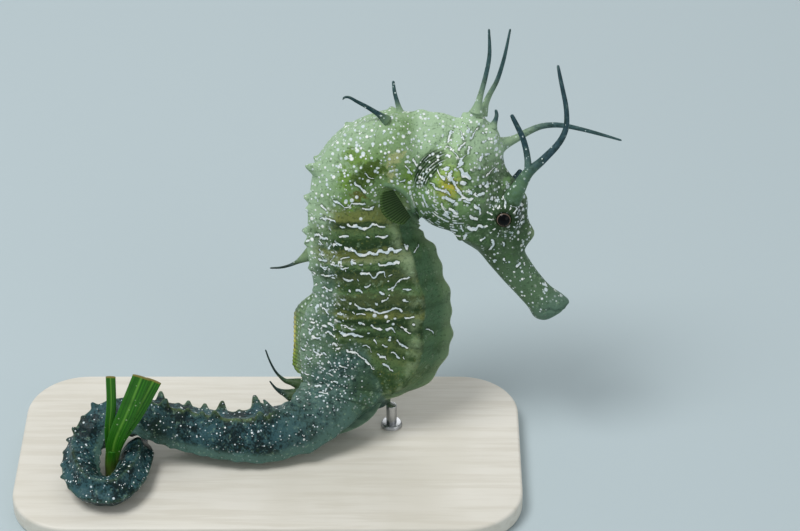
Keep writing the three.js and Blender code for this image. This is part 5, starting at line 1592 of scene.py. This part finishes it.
finTones = {
    "pectoral_fin": {"inner": (26, 48, 16), "outer": (38, 64, 22), "margin": (62, 88, 40),
                     "streak": (32, 44, 26), "streaks": 0.5, "rays": pectoral["rays"]},
    "anal_fin": {"inner": (70, 98, 84), "outer": (96, 124, 104), "margin": (120, 146, 124),
                 "streak": (32, 44, 26), "streaks": 0.2, "rays": anal["rays"]},
}


def finned(f, base, wave, grain):
    normal = f.bump(f.add(wave, f.times(grain, 0.6)), 0.05, 0.6)
    return f.finish(base, 0.45, Normal=normal, Specular_IOR_Level=0.16)


def finFinish(name):
    tones = finTones[name]
    f = Finish(name, tones)
    along, out, _ = f.attribute("finPlace")
    wave = f.calc("SINE", f.times(along, tones["rays"] * 2 * math.pi))
    base = f.tint(f.color("inner"), f.smooth(out, 0.2, 0.75), "outer")
    base = f.tint(base, f.times(f.smooth(wave, 0.2, 0.85), 0.3), "margin")
    cut = f.times(f.smooth(f.times(wave, -1.0), 0.1, 0.7), f.smooth(out, 0.45, 0.6))
    cut = f.times(cut, f.smooth(out, 0.86, 0.96, 1.0, 0.0))
    base = f.tint(base, f.times(cut, tones["streaks"]), "streak")
    base = f.tint(base, f.smooth(out, 0.8, 0.95, 0.0, 0.9), "margin")
    grain = f.noise(f.plane(), 2.0, 3.0)
    base = f.tint(base, f.smooth(grain, 0.45, 0.7, 0.0, 0.3), "inner")
    return finned(f, base, wave, grain)


dorsalTones = {
    "dark": (92, 122, 88), "light": (122, 148, 112), "ray": (150, 172, 128), "dot": (232, 244, 238),
    "green": (112, 138, 48), "streak": (30, 46, 28),
}
dorsalEdge = [
    (0.0, (150, 172, 138)), (0.22, (104, 124, 104)), (0.4, (206, 198, 120)),
    (0.62, (200, 194, 92)), (0.8, (120, 146, 50)), (1.0, (84, 116, 44)),
]


def dorsalFinish():
    f = Finish("dorsal_fin", dorsalTones)
    plane = f.plane()
    along, out, _ = f.attribute("finPlace")
    grain = f.noise(plane, 1.6, 3.0)
    base = f.tint(f.color("dark"), f.smooth(grain, 0.35, 0.65), "light")
    wave = f.calc("SINE", f.times(along, dorsal["rays"] * 2 * math.pi))
    base = f.tint(base, f.smooth(wave, 0.4, 0.95, 0.0, 0.16), "ray")
    dots = f.top(f.scattered(plane, 0.85, 0.22, 0.8), f.scattered(plane, 0.6, 0.14, 0.8))
    base = f.tint(base, f.times(dots, f.smooth(out, 0.75, 0.6), 0.9), "dot")
    edge = f.ramp(along, 0.0, 1.0, [(place, srgb(*color)) for place, color in dorsalEdge])
    streak = f.noise(f.join(f.times(along, 7.0), f.times(out, 13.0), 3.0), 1.0, 3.0, 0.6)
    low = f.times(f.smooth(along, 0.15, 0.4), f.smooth(out, 0.42, 0.62))
    base = f.tint(base, f.times(low, f.smooth(streak, 0.36, 0.5), 0.8), "green")
    base = f.mix(f.times(f.smooth(out, 0.7, 0.9), 0.95), base, edge)
    base = f.tint(base, f.times(low, f.smooth(streak, 0.56, 0.64), 0.85), "streak")
    return finned(f, base, wave, grain)


grassTones = {
    "dark": (28, 92, 14), "light": (62, 134, 26), "middle": (120, 182, 66), "patch": (36, 84, 20),
    "foot": (96, 112, 48), "speck": (196, 214, 170), "cut": (128, 120, 56),
}


def grassFinish():
    f = Finish("seagrass", grassTones)
    plane = f.plane()
    length, share, across = f.attribute("bodyPlace")
    vein = f.noise(f.join(f.times(across, 5.5), f.times(share, 0.35), 2.0), 2.0, 3.0, 0.7)
    base = f.tint(f.color("dark"), f.smooth(vein, 0.35, 0.65), "light")
    base = f.tint(base, f.times(f.near(across, 0.0, 0.08), 0.7), "middle")
    base = f.tint(base, f.smooth(f.noise(plane, 0.4, 3.0), 0.5, 0.75, 0.0, 0.45), "patch")
    base = f.tint(base, f.smooth(length, 1.0, 5.0, 0.8, 0.0), "foot")
    base = f.tint(base, f.times(f.dots(plane, 1.1, 0.12), 0.6), "speck")
    base = f.tint(base, f.smooth(share, 0.985, 0.998), "cut")
    return f.finish(base, 0.38, Normal=f.bump(vein, 0.08, 0.8), Specular_IOR_Level=0.25)


woodTones = {"paint": (226, 222, 211), "brushed": (216, 211, 198), "cloud": (208, 203, 188)}
steelTones = {"dark": (172, 174, 176), "light": (196, 198, 200)}


def standFinish():
    f = Finish("painted_wood", woodTones)
    grain = f.stretched((60, 900, 900), 4.0, 0.6)
    base = f.tint(f.color("paint"), f.smooth(grain, 0.4, 0.65), "brushed")
    base = f.tint(base, f.smooth(f.stretched((60, 60, 60), 3.0), 0.45, 0.75, 0.0, 0.5), "cloud")
    return f.finish(base, 0.5, Normal=f.bump(grain, 0.05, 0.5))


def steelFinish():
    f = Finish("brushed_steel", steelTones)
    brushed = f.stretched((400, 400, 14000), 3.0)
    base = f.tint(f.color("dark"), brushed, "light")
    return f.finish(base, f.add(0.24, f.times(brushed, 0.14)), Metallic=1.0)


print("materials")


def dress(material, *pieces):
    for piece in pieces:
        piece.data.materials.clear()
        piece.data.materials.append(material)


dress(skinFinish(), skin)
feelerSkins = {key: feelerFinish(key) for key in feelerTones}
for name, piece in feelerPieces.items():
    dress(feelerSkins[feelers[name]["root"]], piece)
dress(eyeFinish(), *eyePieces)
dress(finFinish("pectoral_fin"), pectoralRight, pectoralLeft)
dress(dorsalFinish(), dorsalSheet)
dress(finFinish("anal_fin"), analSheet)
dress(grassFinish(), sheath, *bladePieces)
dress(standFinish(), basePiece)
dress(steelFinish(), rodPiece, collarPiece)


# Room, light and camera; places and sizes in metres

print("stage")
room = {
    "half": 3.0, "floor": (184, 198, 202), "middle": (0.01, 0.0, 0.03), "sky": 0.42,
    "skyColor": (0.93, 0.97, 1.0, 1),
}
lamps = {
    "key": {"place": (-0.25, -0.1, 0.62), "size": 0.35, "power": 2.75},
    "fill": {"place": (0.5, -0.45, 0.3), "size": 0.5, "power": 0.55},
    "rim": {"place": (0.1, 0.6, 0.35), "size": 0.4, "power": 0.66},
}
view = {"place": (0.0197, -0.3158, 0.2582), "down": 55, "lens": 120}


def floorPiece():
    bm = bmesh.new()
    bmesh.ops.create_grid(bm, x_segments=1, y_segments=1, size=room["half"])
    mesh = bpy.data.meshes.new("floor")
    bm.to_mesh(mesh)
    bm.free()
    piece = bpy.data.objects.new("floor", mesh)
    bpy.context.collection.objects.link(piece)
    f = Finish("floor", room)
    dress(f.finish(f.color("floor"), 0.9), piece)


def areaLight(name, place, size, power):
    data = bpy.data.lights.new(name, "AREA")
    data.shape = "DISK"
    data.size = size
    data.energy = power
    lamp = bpy.data.objects.new(name, data)
    lamp.location = place
    lamp.rotation_euler = (Vector(room["middle"]) - Vector(place)).to_track_quat("-Z", "Y").to_euler()
    bpy.context.collection.objects.link(lamp)


floorPiece()
for name, lamp in lamps.items():
    areaLight(name, **lamp)
world = bpy.data.worlds.new("studio")
world.use_nodes = True
sky = world.node_tree.nodes["Background"]
sky.inputs["Color"].default_value = room["skyColor"]
sky.inputs["Strength"].default_value = room["sky"]
bpy.context.scene.world = world
bpy.context.scene.view_settings.view_transform = "Standard"

camera = bpy.data.objects.new("camera", bpy.data.cameras.new("camera"))
camera.data.lens = view["lens"]
camera.data.sensor_width = 36
camera.data.clip_start = 0.01
camera.location = view["place"]
camera.rotation_euler = (math.radians(view["down"]), 0, 0)
bpy.context.collection.objects.link(camera)
bpy.context.scene.camera = camera
